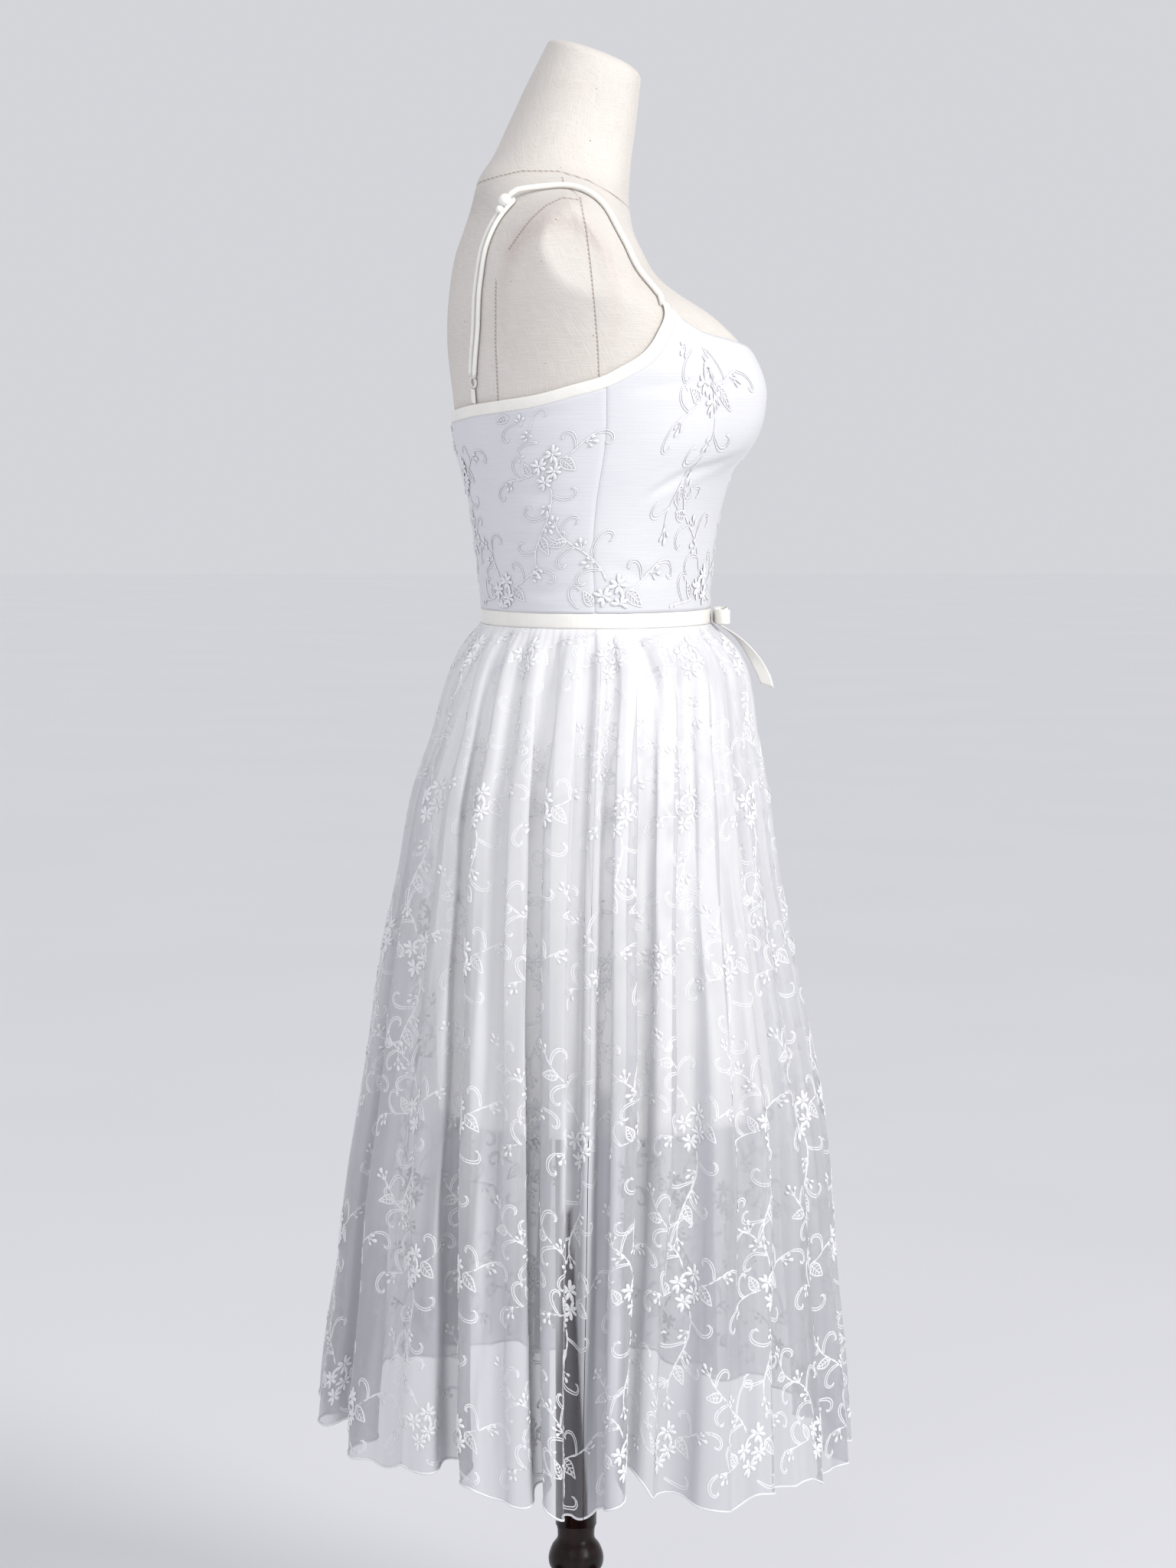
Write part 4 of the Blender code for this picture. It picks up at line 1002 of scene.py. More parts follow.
def enamel_finish():
    made, tree, shader = start_material("white enamelled wire")
    slow = placed(tree, MOTTLE, Place=on_object(tree), Patches_a_metre=300.0, Grains_a_metre=2500.0)
    colour = blend_colour(tree, slow["Patches"], (0.72, 0.71, 0.67), (0.84, 0.83, 0.80))
    tree.links.new(colour, shader.inputs["Base Color"])
    tree.links.new(ranged(tree, slow["Grains"], 0.0, 1.0, 0.22, 0.34), shader.inputs["Roughness"])
    return made


def floor_finish():
    made, tree, shader = start_material("pale floor")
    slow = placed(tree, MOTTLE, Place=on_object(tree), Patches_a_metre=1.5, Grains_a_metre=200.0)
    colour = blend_colour(tree, slow["Patches"], (0.775, 0.775, 0.80), (0.79, 0.79, 0.81))
    tree.links.new(colour, shader.inputs["Base Color"])
    tree.links.new(ranged(tree, slow["Grains"], 0.0, 1.0, 0.75, 0.85), shader.inputs["Roughness"])
    return made


ORGANZA = organza_finish()
BODICE_CLOTH = bodice_finish()
SATIN = satin_finish("cream satin", (0.89, 0.875, 0.82), (0.83, 0.81, 0.755), 0.30)
LINING_SATIN = satin_finish("lining satin", (0.96, 0.955, 0.945), (0.92, 0.915, 0.905), 0.42, LINING_GLOW)
THREAD = thread_finish()
LINEN = linen_finish()
WOOD = wood_finish()
ENAMEL = enamel_finish()


# Camera, light and floor


def build_view():
    scene = bpy.context.scene
    scene.view_settings.view_transform = "Standard"
    scene.cycles.transparent_max_bounces = 7
    scene.cycles.max_bounces = 3
    scene.cycles.diffuse_bounces = 2
    scene.cycles.use_light_tree = False
    camera = bpy.data.objects.new("camera", bpy.data.cameras.new("camera"))
    scene.collection.objects.link(camera)
    camera.data.lens = CAMERA_LENS
    camera.location = CAMERA_PLACE
    tilt = math.radians(CAMERA_TILT)
    ahead = Vector((math.cos(tilt), 0.0, -math.sin(tilt)))
    camera.rotation_euler = ahead.to_track_quat("-Z", "Y").to_euler()
    scene.camera = camera

    world = bpy.data.worlds.new("soft studio")
    scene.world = world
    world.cycles.sampling_method = "NONE"
    world.use_nodes = True
    background = world.node_tree.nodes["Background"]
    background.inputs["Color"].default_value = (0.945, 0.95, 1.0, 1.0)
    background.inputs["Strength"].default_value = SKY_STRENGTH

    for name, place, width, power, colour in (
        ("near key", (-1.60, -1.75, 2.30), 1.3, 26.0, (1.0, 0.985, 0.95)),
        ("near fill", (-2.2, 0.65, 2.1), 1.8, 12.0, (0.96, 0.97, 1.0)),
    ):
        data = bpy.data.lights.new(name, "AREA")
        data.shape = "DISK"
        data.size = width
        data.energy = power
        data.color = colour
        lamp = bpy.data.objects.new(name, data)
        lamp.location = place
        lamp.rotation_euler = (Vector(LIT_PLACE) - Vector(place)).to_track_quat("-Z", "Y").to_euler()
        scene.collection.objects.link(lamp)
    data = bpy.data.lights.new("far key", "SUN")
    data.angle = math.radians(FAR_KEY_WIDTH)
    data.energy = FAR_KEY_STRENGTH
    lamp = bpy.data.objects.new("far key", data)
    lamp.location = FAR_KEY_PLACE
    lamp.rotation_euler = (Vector(LIT_PLACE) - lamp.location).to_track_quat("-Z", "Y").to_euler()
    scene.collection.objects.link(lamp)

    work = bmesh.new()
    bmesh.ops.create_grid(work, x_segments=1, y_segments=1, size=FLOOR_SIZE)
    mesh = to_mesh(work, "floor")
    mesh.materials.append(floor_finish())
    floor = bpy.data.objects.new("floor", mesh)
    scene.collection.objects.link(floor)


# Torso


def line_distance(points, line):
    """How far points of a plane lie from a broken line, and where along it they are nearest."""
    best = np.full(points.shape[:-1], 1e9)
    run = np.zeros(points.shape[:-1])
    done = 0.0
    for a, b in zip(line, line[1:]):
        a, b = np.array(a), np.array(b)
        length = np.linalg.norm(b - a)
        t = np.clip(((points - a) @ (b - a)) / length**2, 0.0, 1.0)
        gap = np.linalg.norm(points - (a + t[..., None] * (b - a)), axis=-1)
        run = np.where(gap < best, done + t * length, run)
        best = np.minimum(best, gap)
        done += length
    return best, run


def line_side(points, line):
    """Distance from a broken line, below zero on one side of it, and large past its ends."""
    best = np.full(points.shape[:-1], 1e9)
    signed = np.ones(points.shape[:-1])
    for k, (a, b) in enumerate(zip(line, line[1:])):
        a, b = np.array(a), np.array(b)
        length = np.linalg.norm(b - a)
        t = ((points - a) @ (b - a)) / length**2
        gap = np.linalg.norm(points - (a + np.clip(t, 0.0, 1.0)[..., None] * (b - a)), axis=-1)
        cross = (b - a)[0] * (points - a)[..., 1] - (b - a)[1] * (points - a)[..., 0]
        past = ((k == 0) & (t < 0.0)) | ((k == len(line) - 2) & (t > 1.0))
        value = np.where(past, 1.0, np.sign(cross) * gap)
        signed = np.where(gap < best, value, signed)
        best = np.minimum(best, gap)
    return signed


# Seams of the linen seen from the side, as depth and height
SIDE_SEAM = [
    (-0.0038, 1.3748),
    (-0.0088, 1.3456),
    (-0.0126, 1.3144),
    (-0.0157, 1.2833),
    (-0.0183, 1.2520),
    (-0.0210, 1.1900),
]
ARM_SEAM = [
    (-0.0038, 1.3718),
    (0.0113, 1.3733),
    (0.0245, 1.3664),
    (0.0360, 1.3560),
    (0.0440, 1.3459),
    (0.0566, 1.3284),
]
SHOULDER_SEAM = [(0.0125, 1.3985), (0.0098, 1.3878), (-0.0037, 1.3748)]
BACK_SEAM = [(0.0655, 1.3100), (0.0662, 1.2990), (0.0668, 1.2534), (0.0649, 1.2062), (0.0600, 1.1300)]
NECK_SEAM = [
    (-0.0520, 1.3700),
    (-0.0458, 1.3726),
    (-0.0120, 1.3919),
    (0.0140, 1.4002),
    (0.0465, 1.4009),
    (0.0900, 1.3925),
]
ARM_PLATE = {"y": 0.0135, "height": 1.2850, "half_depth": 0.0480, "half_height": 0.0680}


def build_form():
    heights = np.concatenate([np.arange(FORM_BOTTOM, 1.4765, 0.005), [1.4765]])
    degrees = np.arange(0.0, 360.0, FORM_STEP)
    rings = on_form(degrees[None, :], heights[:, None], FORM_LIFT)
    low, high = NECK_RIM["front_y"], NECK_RIM["back_y"]
    caps = []
    for share, rise in zip(NECK_DOME["share"], NECK_DOME["rise"]):
        y = (low + high) / 2.0 - (high - low) / 2.0 * share * np.cos(np.radians(degrees))
        z = NECK_RIM["front_height"] + NECK_TOP_TILT * (y - low) + rise
        caps.append(np.stack([-NECK_RIM["half_width"] * share * np.sin(np.radians(degrees)), y, z], axis=-1))
    points = np.concatenate([rings, np.array(caps)])
    side_view = points[..., 1:]
    outside = np.abs(points[..., 0]) > 0.045
    arm = np.abs(points[..., 0]) > 0.10
    whole = np.full(outside.shape, True)
    behind = outside & (points[..., 1] > 0.0)
    values = {}
    seams = (
        (SIDE_SEAM, outside),
        (ARM_SEAM, arm),
        (SHOULDER_SEAM, outside),
        (BACK_SEAM, behind),
        (NECK_SEAM, whole),
    )
    for k, (line, where) in enumerate(seams):
        values[f"seam_{k}"] = np.where(where, line_side(side_view, line), 1.0)
    # Painted shade: a soft darker ring round the arm plate's edge on the upper form, and a band along the arm
    # seam, where shade falls on the linen
    plate = np.hypot(
        (points[..., 1] - ARM_PLATE["y"]) / ARM_PLATE["half_depth"],
        (points[..., 2] - ARM_PLATE["height"]) / ARM_PLATE["half_height"],
    )
    upper = np.clip((points[..., 2] - 1.24) / 0.09, 0.0, 1.0) * outside
    painted_shade = 0.55 * np.exp(-(((plate - 1.0) / 0.12) ** 2)) * upper
    gap, _ = line_distance(side_view, ARM_SEAM)
    painted_shade = painted_shade + 0.30 * np.exp(-((gap / 0.006) ** 2)) * (np.abs(points[..., 0]) > 0.10)
    mesh = closed_skin("form", points, values={**values, "painted_shade": painted_shade})
    return settle("linen_form", mesh, LINEN, replaces=["form_body"])


# Skirt


def skirt_lines():
    """Every line down the organza: angle at band and hem, depth there, and how far it laps."""
    marks = np.stack([np.concatenate([LEFT_FOLDS[key], RIGHT_FOLDS[key]]) for key in FOLD_COLUMNS], axis=-1)
    after = np.roll(marks, -1, axis=0)
    after[-1, :2] += 360.0
    t = np.arange(STEPS_A_FOLD) / STEPS_A_FOLD
    ease = 0.5 - 0.5 * np.cos(math.pi * t)
    swing = np.sin(2 * math.pi * t)
    first, span = marks[:, None, :], (after - marks)[:, None, :]
    angles = [first[..., k] + span[..., k] * t for k in (0, 1)]
    depths = [first[..., k] + span[..., k] * ease for k in (2, 3)]
    laps = [first[..., k + 4] * span[..., k] * swing for k in (0, 1)]
    return np.stack(angles + depths + laps, axis=-1).reshape(-1, 6)


def hem_height(lines):
    """The hem is higher behind than in front, a little higher in a groove, and wavy."""
    level = HEM_MIDDLE + HEM_TILT * section_point(SKIRT, lines[:, 1], HEM_MIDDLE)[:, 1]
    level = level + HEM_RISE_IN_GROOVE * lines[:, 3]
    angle = np.radians(lines[:, 1])
    for waves, rise, phase in zip(HEM_WAVES["waves"], HEM_WAVES["rise"], HEM_WAVES["phase"]):
        level = level + rise * np.sin(waves * angle + phase)
    for at, rise, spread in HEM_SHIFTS:
        level = level + rise * np.exp(-(((lines[:, 1] - at) / spread) ** 4))
    return level


def skirt_points(lines, turn=0.0):
    """Rows by columns of the organza, from the band down to the hem."""
    share = np.linspace(0.0, 1.0, SKIRT_ROWS) ** 1.15
    hems = hem_height(lines)
    height = SKIRT_TOP + (hems[None, :] - SKIRT_TOP) * share[:, None]
    drop = SKIRT_TOP - height
    fall = np.clip(drop / (SKIRT_TOP - HEM_MIDDLE), 0.0, 1.0)
    top, hem, sunk_top, sunk_hem, lap_top, lap_hem = (lines[None, :, k] for k in range(6))
    lap = (lap_top + (lap_hem - lap_top) * fall) * np.clip(drop / FOLD_SETTLE, 0.0, 1.0)
    groove = sunk_top + (sunk_hem - sunk_top) * fall
    plain = top + (hem - top) * fall**FOLD_SPREAD + turn
    degrees = plain + lap
    outline = section_point(SKIRT, degrees, height)
    ahead = section_point(SKIRT, degrees + 1.0, height) - section_point(SKIRT, degrees - 1.0, height)
    outwards = unit(np.cross([0.0, 0.0, 1.0], ahead))
    middle = np.stack([np.zeros_like(height), read(SKIRT, "side_y", height), height], axis=-1)
    outwards = outwards * np.sign((outwards * (outline - middle)).sum(axis=-1, keepdims=True))
    depth = read(SKIRT, "groove", height) * groove
    angle = np.radians(plain)
    puckers = np.sin(PUCKER["waves"] * angle + 1.7 * np.sin(9 * angle)) * 0.5 + 0.5
    settle_in = np.clip(drop / 0.006, 0.0, 1.0)
    out = PUCKER["height"] * puckers * np.exp(-drop / PUCKER["fade"]) * settle_in
    for waves, rise, drift, phase in zip(*(RIPPLES[key] for key in ("waves", "height", "drift", "phase"))):
        wave = np.sin(waves * angle + drift * np.sin(6.0 * drop + phase) + phase)
        out = out + rise * wave * np.clip(drop / 0.20, 0.0, 1.0)
    for i in range(len(TUCKS["depth"])):
        along = (drop - TUCKS["start"][i]) / TUCKS["length"][i]
        middle_angle = TUCKS["angle_top"][i] + (TUCKS["angle_low"][i] - TUCKS["angle_top"][i]) * along
        aside = (plain - middle_angle + 180.0) % 360.0 - 180.0
        shape = np.exp(-((aside / (TUCKS["width"][i] * 0.5)) ** 2))
        reach = np.where((along > 0) & (along < 1), np.sin(math.pi * np.clip(along, 0, 1) ** 0.7), 0.0)
        out = out - TUCKS["depth"][i] * shape * reach
    return outline + outwards * (out - depth)[..., None]


def skirt_columns():
    lines = skirt_lines()
    left_mark = LEFT_SEAM_LINE * STEPS_A_FOLD
    right_mark = (len(LEFT_FOLDS["top"]) + RIGHT_SEAM_LINE) * STEPS_A_FOLD
    front = np.arange(left_mark, right_mark + 1)
    back = np.arange(right_mark, left_mark + len(lines) + 1) % len(lines)
    return lines, {"front": front, "back": back}


def cloth_cover(points):
    """How much of what lies behind the organza it hides: more where it stands edge-on."""
    height = points[..., 2]
    normals = unit(np.cross(np.gradient(points, axis=1), np.gradient(points, axis=0)))
    middle = np.stack([np.zeros_like(height), read(SKIRT, "side_y", height), height], axis=-1)
    facing = np.abs((normals * unit(points - middle)).sum(axis=-1))
    cover = 1.0 - (1.0 - COVER["plain"]) ** (1.0 / np.maximum(facing, 0.3))
    cover = np.minimum(cover, COVER["most"])
    away = points - middle
    angle = np.degrees(np.arctan2(-away[..., 0], -away[..., 1]))
    opened = np.clip((SLIT["height"] - height) / (SLIT["height"] - SLIT["bottom"]), 0.0, 1.0)
    front_edge = SLIT["angle"] + (SLIT["front_edge"] - SLIT["angle"]) * opened
    back_edge = SLIT["angle"] + (SLIT["back_edge"] - SLIT["angle"]) * opened**0.35
    beside = np.clip(np.minimum(angle - SLIT_SIDE, front_edge - angle) / 0.6 + 0.5, 0.0, 1.0) * (opened > 0)
    over = np.clip(np.minimum(angle - SLIT_SIDE, SLIT_ABOVE["far_side"] - angle) / 0.8 + 0.5, 0.0, 1.0)
    over = over * np.clip((SLIT_ABOVE["height"] - height) / 0.03, 0.0, 1.0) * (opened == 0)
    cover = np.maximum(cover, COVER["beside_slit"] * np.maximum(beside, over))
    inside = np.clip(np.minimum(angle - front_edge, back_edge - angle) / 0.4 + 0.5, 0.0, 1.0)
    return cover + (COVER["slit"] - cover) * inside * (opened > 0)


def organza_tone_and_painted_shade(points):
    """Paler where gathering packs the threads near the band, darker downwards as painted shade; soft streaks.
    """
    row, column = np.indices(points.shape[:2])
    fine = np.sin(1.9 * column + 0.9 * np.sin(0.06 * row + 0.11 * column))
    broad = np.sin(0.47 * column + 0.7 * np.sin(0.04 * row + 0.07 * column) + 1.0)
    streaks = 0.5 + 0.22 * fine + 0.28 * broad
    # Painted shade: the organza is darkest low down and grows paler up to the band, partly for the gathered
    # cloth there
    gathering_and_painted_light = np.clip((points[..., 2] - PAINTED_SHADE_FULL_BELOW) / (SKIRT_TOP - PAINTED_SHADE_FULL_BELOW), 0.0, 1.0)
    return 0.22 * streaks + 0.78 * gathering_and_painted_light**0.85


def build_skirt():
    lines, panels = skirt_columns()
    hair = math.degrees(SEAM_GAP / 2.0 / WAIST_RADIUS)
    made = {}
    for side, chosen in panels.items():
        turn = np.zeros(len(chosen))
        turn[0], turn[-1] = hair, -hair
        picked = lines[chosen].copy()
        wrapped = np.where(np.diff(chosen, prepend=chosen[0]) < 0, 1, 0).cumsum()
        picked[:, :2] += 360.0 * wrapped[:, None]
        points = skirt_points(picked, turn[None, :])
        across = arc_along(points[-1:], 1)[0]
        down = arc_along(points, 0).mean(axis=1)
        uv = np.stack(np.meshgrid(across, down), axis=-1)
        mesh = skin(f"skirt_{side}", points, uv, {"cover": cloth_cover(points), "tone": organza_tone_and_painted_shade(points)})
        piece = settle(f"organza_skirt_{side}", mesh, ORGANZA, replaces=[f"skirt_{side}"])
        hem_path = points[-1]
        edge = tube_points(hem_path, [HEM_ROLL_RADIUS] * len(hem_path), 5)
        hem_mesh = closed_skin(f"hem_{side}", edge)
        hem = settle(f"rolled_hem_{side}", hem_mesh, THREAD)
        made[side] = (piece, hem, float(across[-1]), float(down[-1]), float(surface(points)))
    return made


def surface(points):
    """Area of a grid of points."""
    one = np.cross(points[1:, :-1] - points[:-1, :-1], points[:-1, 1:] - points[:-1, :-1])
    two = np.cross(points[1:, :-1] - points[1:, 1:], points[:-1, 1:] - points[1:, 1:])
    return (np.linalg.norm(one, axis=-1).sum() + np.linalg.norm(two, axis=-1).sum()) / 2.0


# Lining


def build_lining():
    upper_levels = np.linspace(SKIRT_TOP - 2 * SEAM_GAP, LINING_HIP, 28)
    levels = np.concatenate([upper_levels, np.linspace(LINING_HIP, LINING_HEM, 36)[1:]])
    side = 90.0 - math.degrees(SEAM_GAP / 2.0 / WAIST_RADIUS)
    made = {}
    for name, middle in (("front", 0.0), ("back", 180.0)):
        angles = np.linspace(middle - side, middle + side, 101)
        grid, height = np.meshgrid(angles, levels)
        upper = on_form(grid, height, LINING_LIFT)
        lower = section_point(LINING, grid, height)
        points = np.where((height >= LINING_HIP)[..., None], upper, lower)
        axis = np.array([0.0, LINING_AXIS_Y, 0.0])
        away = unit(points - axis - np.array([0.0, 0.0, 1.0]) * height[..., None])
        slack = np.clip((LINING_HIP - height) / 0.2, 0.0, 1.0)
        wave = 0.0030 * np.sin(np.radians(grid) * 11 + 0.8) + 0.0016 * np.sin(np.radians(grid) * 19 + 2.0)
        points = points + away * (slack * (wave + 0.0005))[..., None]
        mesh = skin(f"lining_{name}", points)
        piece = settle(
            f"slip_lining_{name}",
            mesh,
            LINING_SATIN,
            replaces=[f"lining_{name}"],
            wall=LINING_WALL,
        )
        made[name] = (piece, points)
    return made


# Bodice


def across_form(degrees, height):
    """Metres for each degree and each metre of height, on the form there."""
    round_it = np.linalg.norm(on_form(degrees + 1, height, 0.0) - on_form(degrees - 1, height, 0.0)) / 2.0
    above, below = on_form(degrees, height + 0.004, 0.0), on_form(degrees, height - 0.004, 0.0)
    up_it = np.linalg.norm(above - below) / 0.008
    return round_it, up_it


def binding_lines():
    """The binding's outer line along the armhole edge and its inner line, as (angle, height)."""
    angles = np.concatenate([np.linspace(STRAP_POINT_ANGLE, 90.0, 40), np.linspace(90.0, 180.0, 50)[1:]])
    heights = read(ARMHOLE_EDGE, "height", angles, key="angle")
    slopes = np.gradient(heights, angles)
    slopes[-1] = 0.0
    outer, inner = [], []
    for angle, height, slope in zip(angles, heights, slopes):
        per_degree, per_metre = across_form(angle, height)
        along = Vector((per_degree, slope * per_metre)).normalized()
        widening = (1.0 - BINDING_POINT_SHARE) * (angle - STRAP_POINT_ANGLE) / BINDING_POINT_SPAN
        width = BINDING_WIDTH * min(1.0, BINDING_POINT_SHARE + widening)
        outer.append((angle, height))
        inner.append((angle + along.y * width / per_degree, height - along.x * width / per_metre))
    return np.array(outer), np.array(inner)


def bodice_top(degrees, inner):
    """Height of the bodice's cut edge: the neckline in front, the binding's inner line behind."""
    aside = np.abs((degrees + 180.0) % 360.0 - 180.0)
    neck = np.minimum(read(NECKLINE, "height", aside, key="angle"), inner[0, 1])
    under = np.interp(aside, inner[:, 0], inner[:, 1]) + SEAM_GAP
    return np.where(aside < inner[0, 0], neck, under)


def crease_depth(degrees, height):
    total = np.zeros(np.broadcast(degrees, height).shape)
    aside = (degrees + 180.0) % 360.0 - 180.0
    place = np.stack([aside * METRES_A_DEGREE, height], axis=-1)
    for crease in BODICE_CREASES:
        line = [(angle * METRES_A_DEGREE, z) for angle, z in crease["path"]]
        length = sum(math.dist(a, b) for a, b in zip(line, line[1:]))
        gap, run = line_distance(place, line)
        taper = np.sin(math.pi * np.clip(run / length, 0.02, 0.98)) ** 0.6
        ridge = np.exp(-(((gap - crease["width"] * 1.5) / crease["width"]) ** 2)) * 0.35
        total += crease["depth"] * taper * (np.exp(-((gap / crease["width"]) ** 2)) - ridge)
    return total


def bodice_grid(degrees, inner, lift):
    bottom = BAND_TOP - SEAM_GAP
    share = np.linspace(1.0, 0.0, BODICE_ROWS)[:, None]
    height = bottom + (bodice_top(degrees, inner)[None, :] - bottom) * share
    grid = np.broadcast_to(degrees[None, :], height.shape)
    low_edge = np.clip((height - bottom) / 0.012, 0.0, 1.0)
    sunk = crease_depth(grid, height) * low_edge
    aside = np.abs((grid + 180.0) % 360.0 - 180.0)
    seam = 0.0007 * np.exp(-(((aside - 90.0) * METRES_A_DEGREE / 0.0022) ** 2))
    lifts = np.maximum(lift - sunk - seam, 0.0003)
    return on_form(grid, height, lifts, CUP_BRIDGE), height


def build_bodice():
    outer, inner = binding_lines()
    side = 90.0 - math.degrees(SEAM_GAP * 0.5 / BODICE_SIDE_RADIUS)
    edge = inner[(inner[:, 0] < side - 0.3), 0]
    half = np.concatenate([np.linspace(0.0, inner[0, 0] - 0.4, 60), edge, np.linspace(edge[-1], side, 4)[1:]])
    front = np.concatenate([-half[:0:-1], half])
    behind = 180.0 - side
    half = np.concatenate([[behind], inner[inner[:, 0] > behind + 0.3, 0]])
    half = np.sort(np.concatenate([half, (half[1:] + half[:-1]) / 2.0]))
    back = np.concatenate([half, (360.0 - half[:-1])[::-1]])
    made = {}
    lift = BODICE_LIFT + 0.0004
    for name, angles in (("front", front), ("back", back)):
        points, height = bodice_grid(angles, inner, lift)
        mesh = skin(f"bodice_{name}", points, np.stack([arc_along(points, 1), -height], axis=-1))
        piece = settle(
            f"embroidered_bodice_{name}",
            mesh,
            BODICE_CLOTH,
            replaces=[f"bodice_{name}"],
            wall=BODICE_WALL,
        )
        made[name] = (piece, points)
    bindings = {}
    profile = rounded_strip(16)
    for side_name, sign in (("right", 1.0), ("left", -1.0)):
        rings = []
        for (a0, h0), (a1, h1) in zip(outer, inner):
            a0, a1 = min(a0, 179.95), min(a1, 179.95)
            across, up = profile[:, 0], profile[:, 1]
            angle = sign * (a0 + (a1 - a0) * across)
            height = h0 + (h1 - h0) * across
            rings.append(on_form(angle, height, BINDING_LIFT + BINDING_WALL * up, CUP_BRIDGE))
        mesh = closed_skin(f"binding_{side_name}", np.array(rings))
        piece = settle(
            f"satin_binding_{side_name}", mesh, SATIN, replaces=[f"armhole_binding_{side_name}"]
        )
        bindings[side_name] = (piece, np.array(rings))
    return made, bindings, inner


def rounded_strip(count):
    """Section of a folded strip: share across and share of its thickness, right round."""
    angle = np.linspace(0.0, 2 * math.pi, count, endpoint=False)
    squareness = 0.45
    across = np.sign(np.cos(angle)) * np.abs(np.cos(angle)) ** squareness
    up = np.sign(np.sin(angle)) * np.abs(np.sin(angle)) ** (squareness + 0.25)
    return np.stack([across * 0.5 + 0.5, up * 0.5 + 0.5], axis=-1)


def build_waistband():
    profile = rounded_strip(20)
    degrees = np.arange(0.0, 360.0, 2.0)
    height = BAND_TOP + (BAND_BOTTOM - BAND_TOP) * profile[:, 0]
    lift = BAND_LIFT + BAND_WALL * profile[:, 1]
    ripple = 0.00025 * np.sin(np.radians(degrees) * 13) * np.sin(np.radians(degrees) * 5 + 1.0)
    lifts = lift[None, :] + ripple[:, None] * profile[None, :, 1]
    rings = on_form(degrees[:, None], np.broadcast_to(height[None, :], lifts.shape), lifts)
    rings = np.concatenate([rings, rings[:1]])
    mesh = closed_skin("waistband", rings, capped=False)
    piece = settle("satin_waistband", mesh, SATIN, replaces=["waistband"])
    return piece, rings


# Embroidery


def curl(x, y, heading, length, bend_start, bend_end, count):
    """Flat points along a line whose bend grows along it, and its direction at each."""
    share = np.linspace(0.0, 1.0, count)
    bend = bend_start + (bend_end - bend_start) * share**2
    step = length / (count - 1)
    way = math.radians(heading) + np.concatenate([[0.0], np.cumsum((bend[1:] + bend[:-1]) / 2.0 * step)])
    moves = np.stack([np.cos(way), np.sin(way)], axis=-1) * step
    sums = np.cumsum((moves[1:] + moves[:-1]) / 2.0, axis=0)
    places = np.array([x, y]) + np.concatenate([[[0.0, 0.0]], sums])
    return places, way


def stitch_line(work, uv_layer, places, radius=THREAD_RADIUS):
    """A closed, three-sided line of stitches along flat points."""
    ways = np.gradient(places, axis=0)
    across = unit(np.stack([-ways[:, 1], ways[:, 0]], axis=-1))
    ring = []
    for side, up in ((-1.0, 0.0), (0.0, THREAD_RISE), (1.0, 0.0)):
        x, y = places[0] + across[0] * radius * side
        ring.append(work.verts.new((x, y, radius * up)))
    edges = [work.edges.new(pair) for pair in zip(ring, ring[1:] + ring[:1])]
    first = list(edges)
    faces = []
    for spot, beside in zip(places[1:], across[1:]):
        grown = bmesh.ops.extrude_edge_only(work, edges=edges)["geom"]
        fresh = {item for item in grown if isinstance(item, bmesh.types.BMVert)}
        edges = [item for item in grown if isinstance(item, bmesh.types.BMEdge) and set(item.verts) <= fresh]
        faces += [item for item in grown if isinstance(item, bmesh.types.BMFace)]
        ring = [next(e.other_vert(v) for e in v.link_edges if e.other_vert(v) in fresh) for v in ring]
        for vert, (side, up) in zip(ring, ((-1.0, 0.0), (0.0, THREAD_RISE), (1.0, 0.0))):
            x, y = spot + beside * radius * side
            vert.co = (x, y, radius * up)
    faces += bmesh.ops.edgeloop_fill(work, edges=first)["faces"]
    faces += bmesh.ops.edgeloop_fill(work, edges=edges)["faces"]
    for face in faces:
        for corner in face.loops:
            corner[uv_layer].uv = (corner.vert.co.x, corner.vert.co.y)


def pad(work, uv_layer, x, y, heading, length, width, height, segments=6, rings=5, taper=0.35):
    """A raised patch of satin stitch that starts at x, y and points along its heading."""
    made = bmesh.ops.create_uvsphere(work, u_segments=segments, v_segments=rings, radius=1.0)["verts"]
    bmesh.ops.rotate(work, verts=made, cent=(0, 0, 0), matrix=Matrix.Rotation(math.pi / 2, 3, "Y"))
    way = math.radians(heading)
    for vert in made:
        along = vert.co.x
        beside = vert.co.y * (1.0 + taper * along)
        for face in vert.link_faces:
            for corner in face.loops:
                if corner.vert == vert:
                    corner[uv_layer].uv = (beside * width / 2.0, along * length / 2.0)
        run = length * (0.5 + 0.5 * along)
        wide = beside * width / 2.0
        vert.co = (
            x + math.cos(way) * run - math.sin(way) * wide,
            y + math.sin(way) * run + math.cos(way) * wide,
            height * (0.35 + 0.65 * vert.co.z) if vert.co.z > 0 else height * 0.35 * (1.0 + vert.co.z),
        )


def add_flowers(work, uv_layer):
    for x, y, size, turn in zip(*(FLOWERS[key] for key in ("x", "y", "size", "turn"))):
        for k in range(PETAL_COUNT):
            heading = turn + 360.0 / PETAL_COUNT * k + 5.0 * (-1) ** k
            way = math.radians(heading)
            grown = size * (1.0 if k % 2 else 0.82)
            start = PETAL["inner"] * size
            pad(
                work, uv_layer, x + math.cos(way) * start, y + math.sin(way) * start, heading,
                PETAL["length"] * grown, PETAL["width"] * size, PETAL["height"], rings=4, taper=0.25,
            )
        pad(
            work, uv_layer, x - 0.0012, y, 0.0, 0.0024, 0.0024, PETAL["height"] * 1.25,
            segments=6, rings=4, taper=0.0,
        )


def from_vine(vine, share):
    """Place and heading, in degrees, at a share of the way along a vine."""
    places, way = curl(*VINES[vine], 41)
    k = round(share * 40)
    return places[k], math.degrees(way[k])


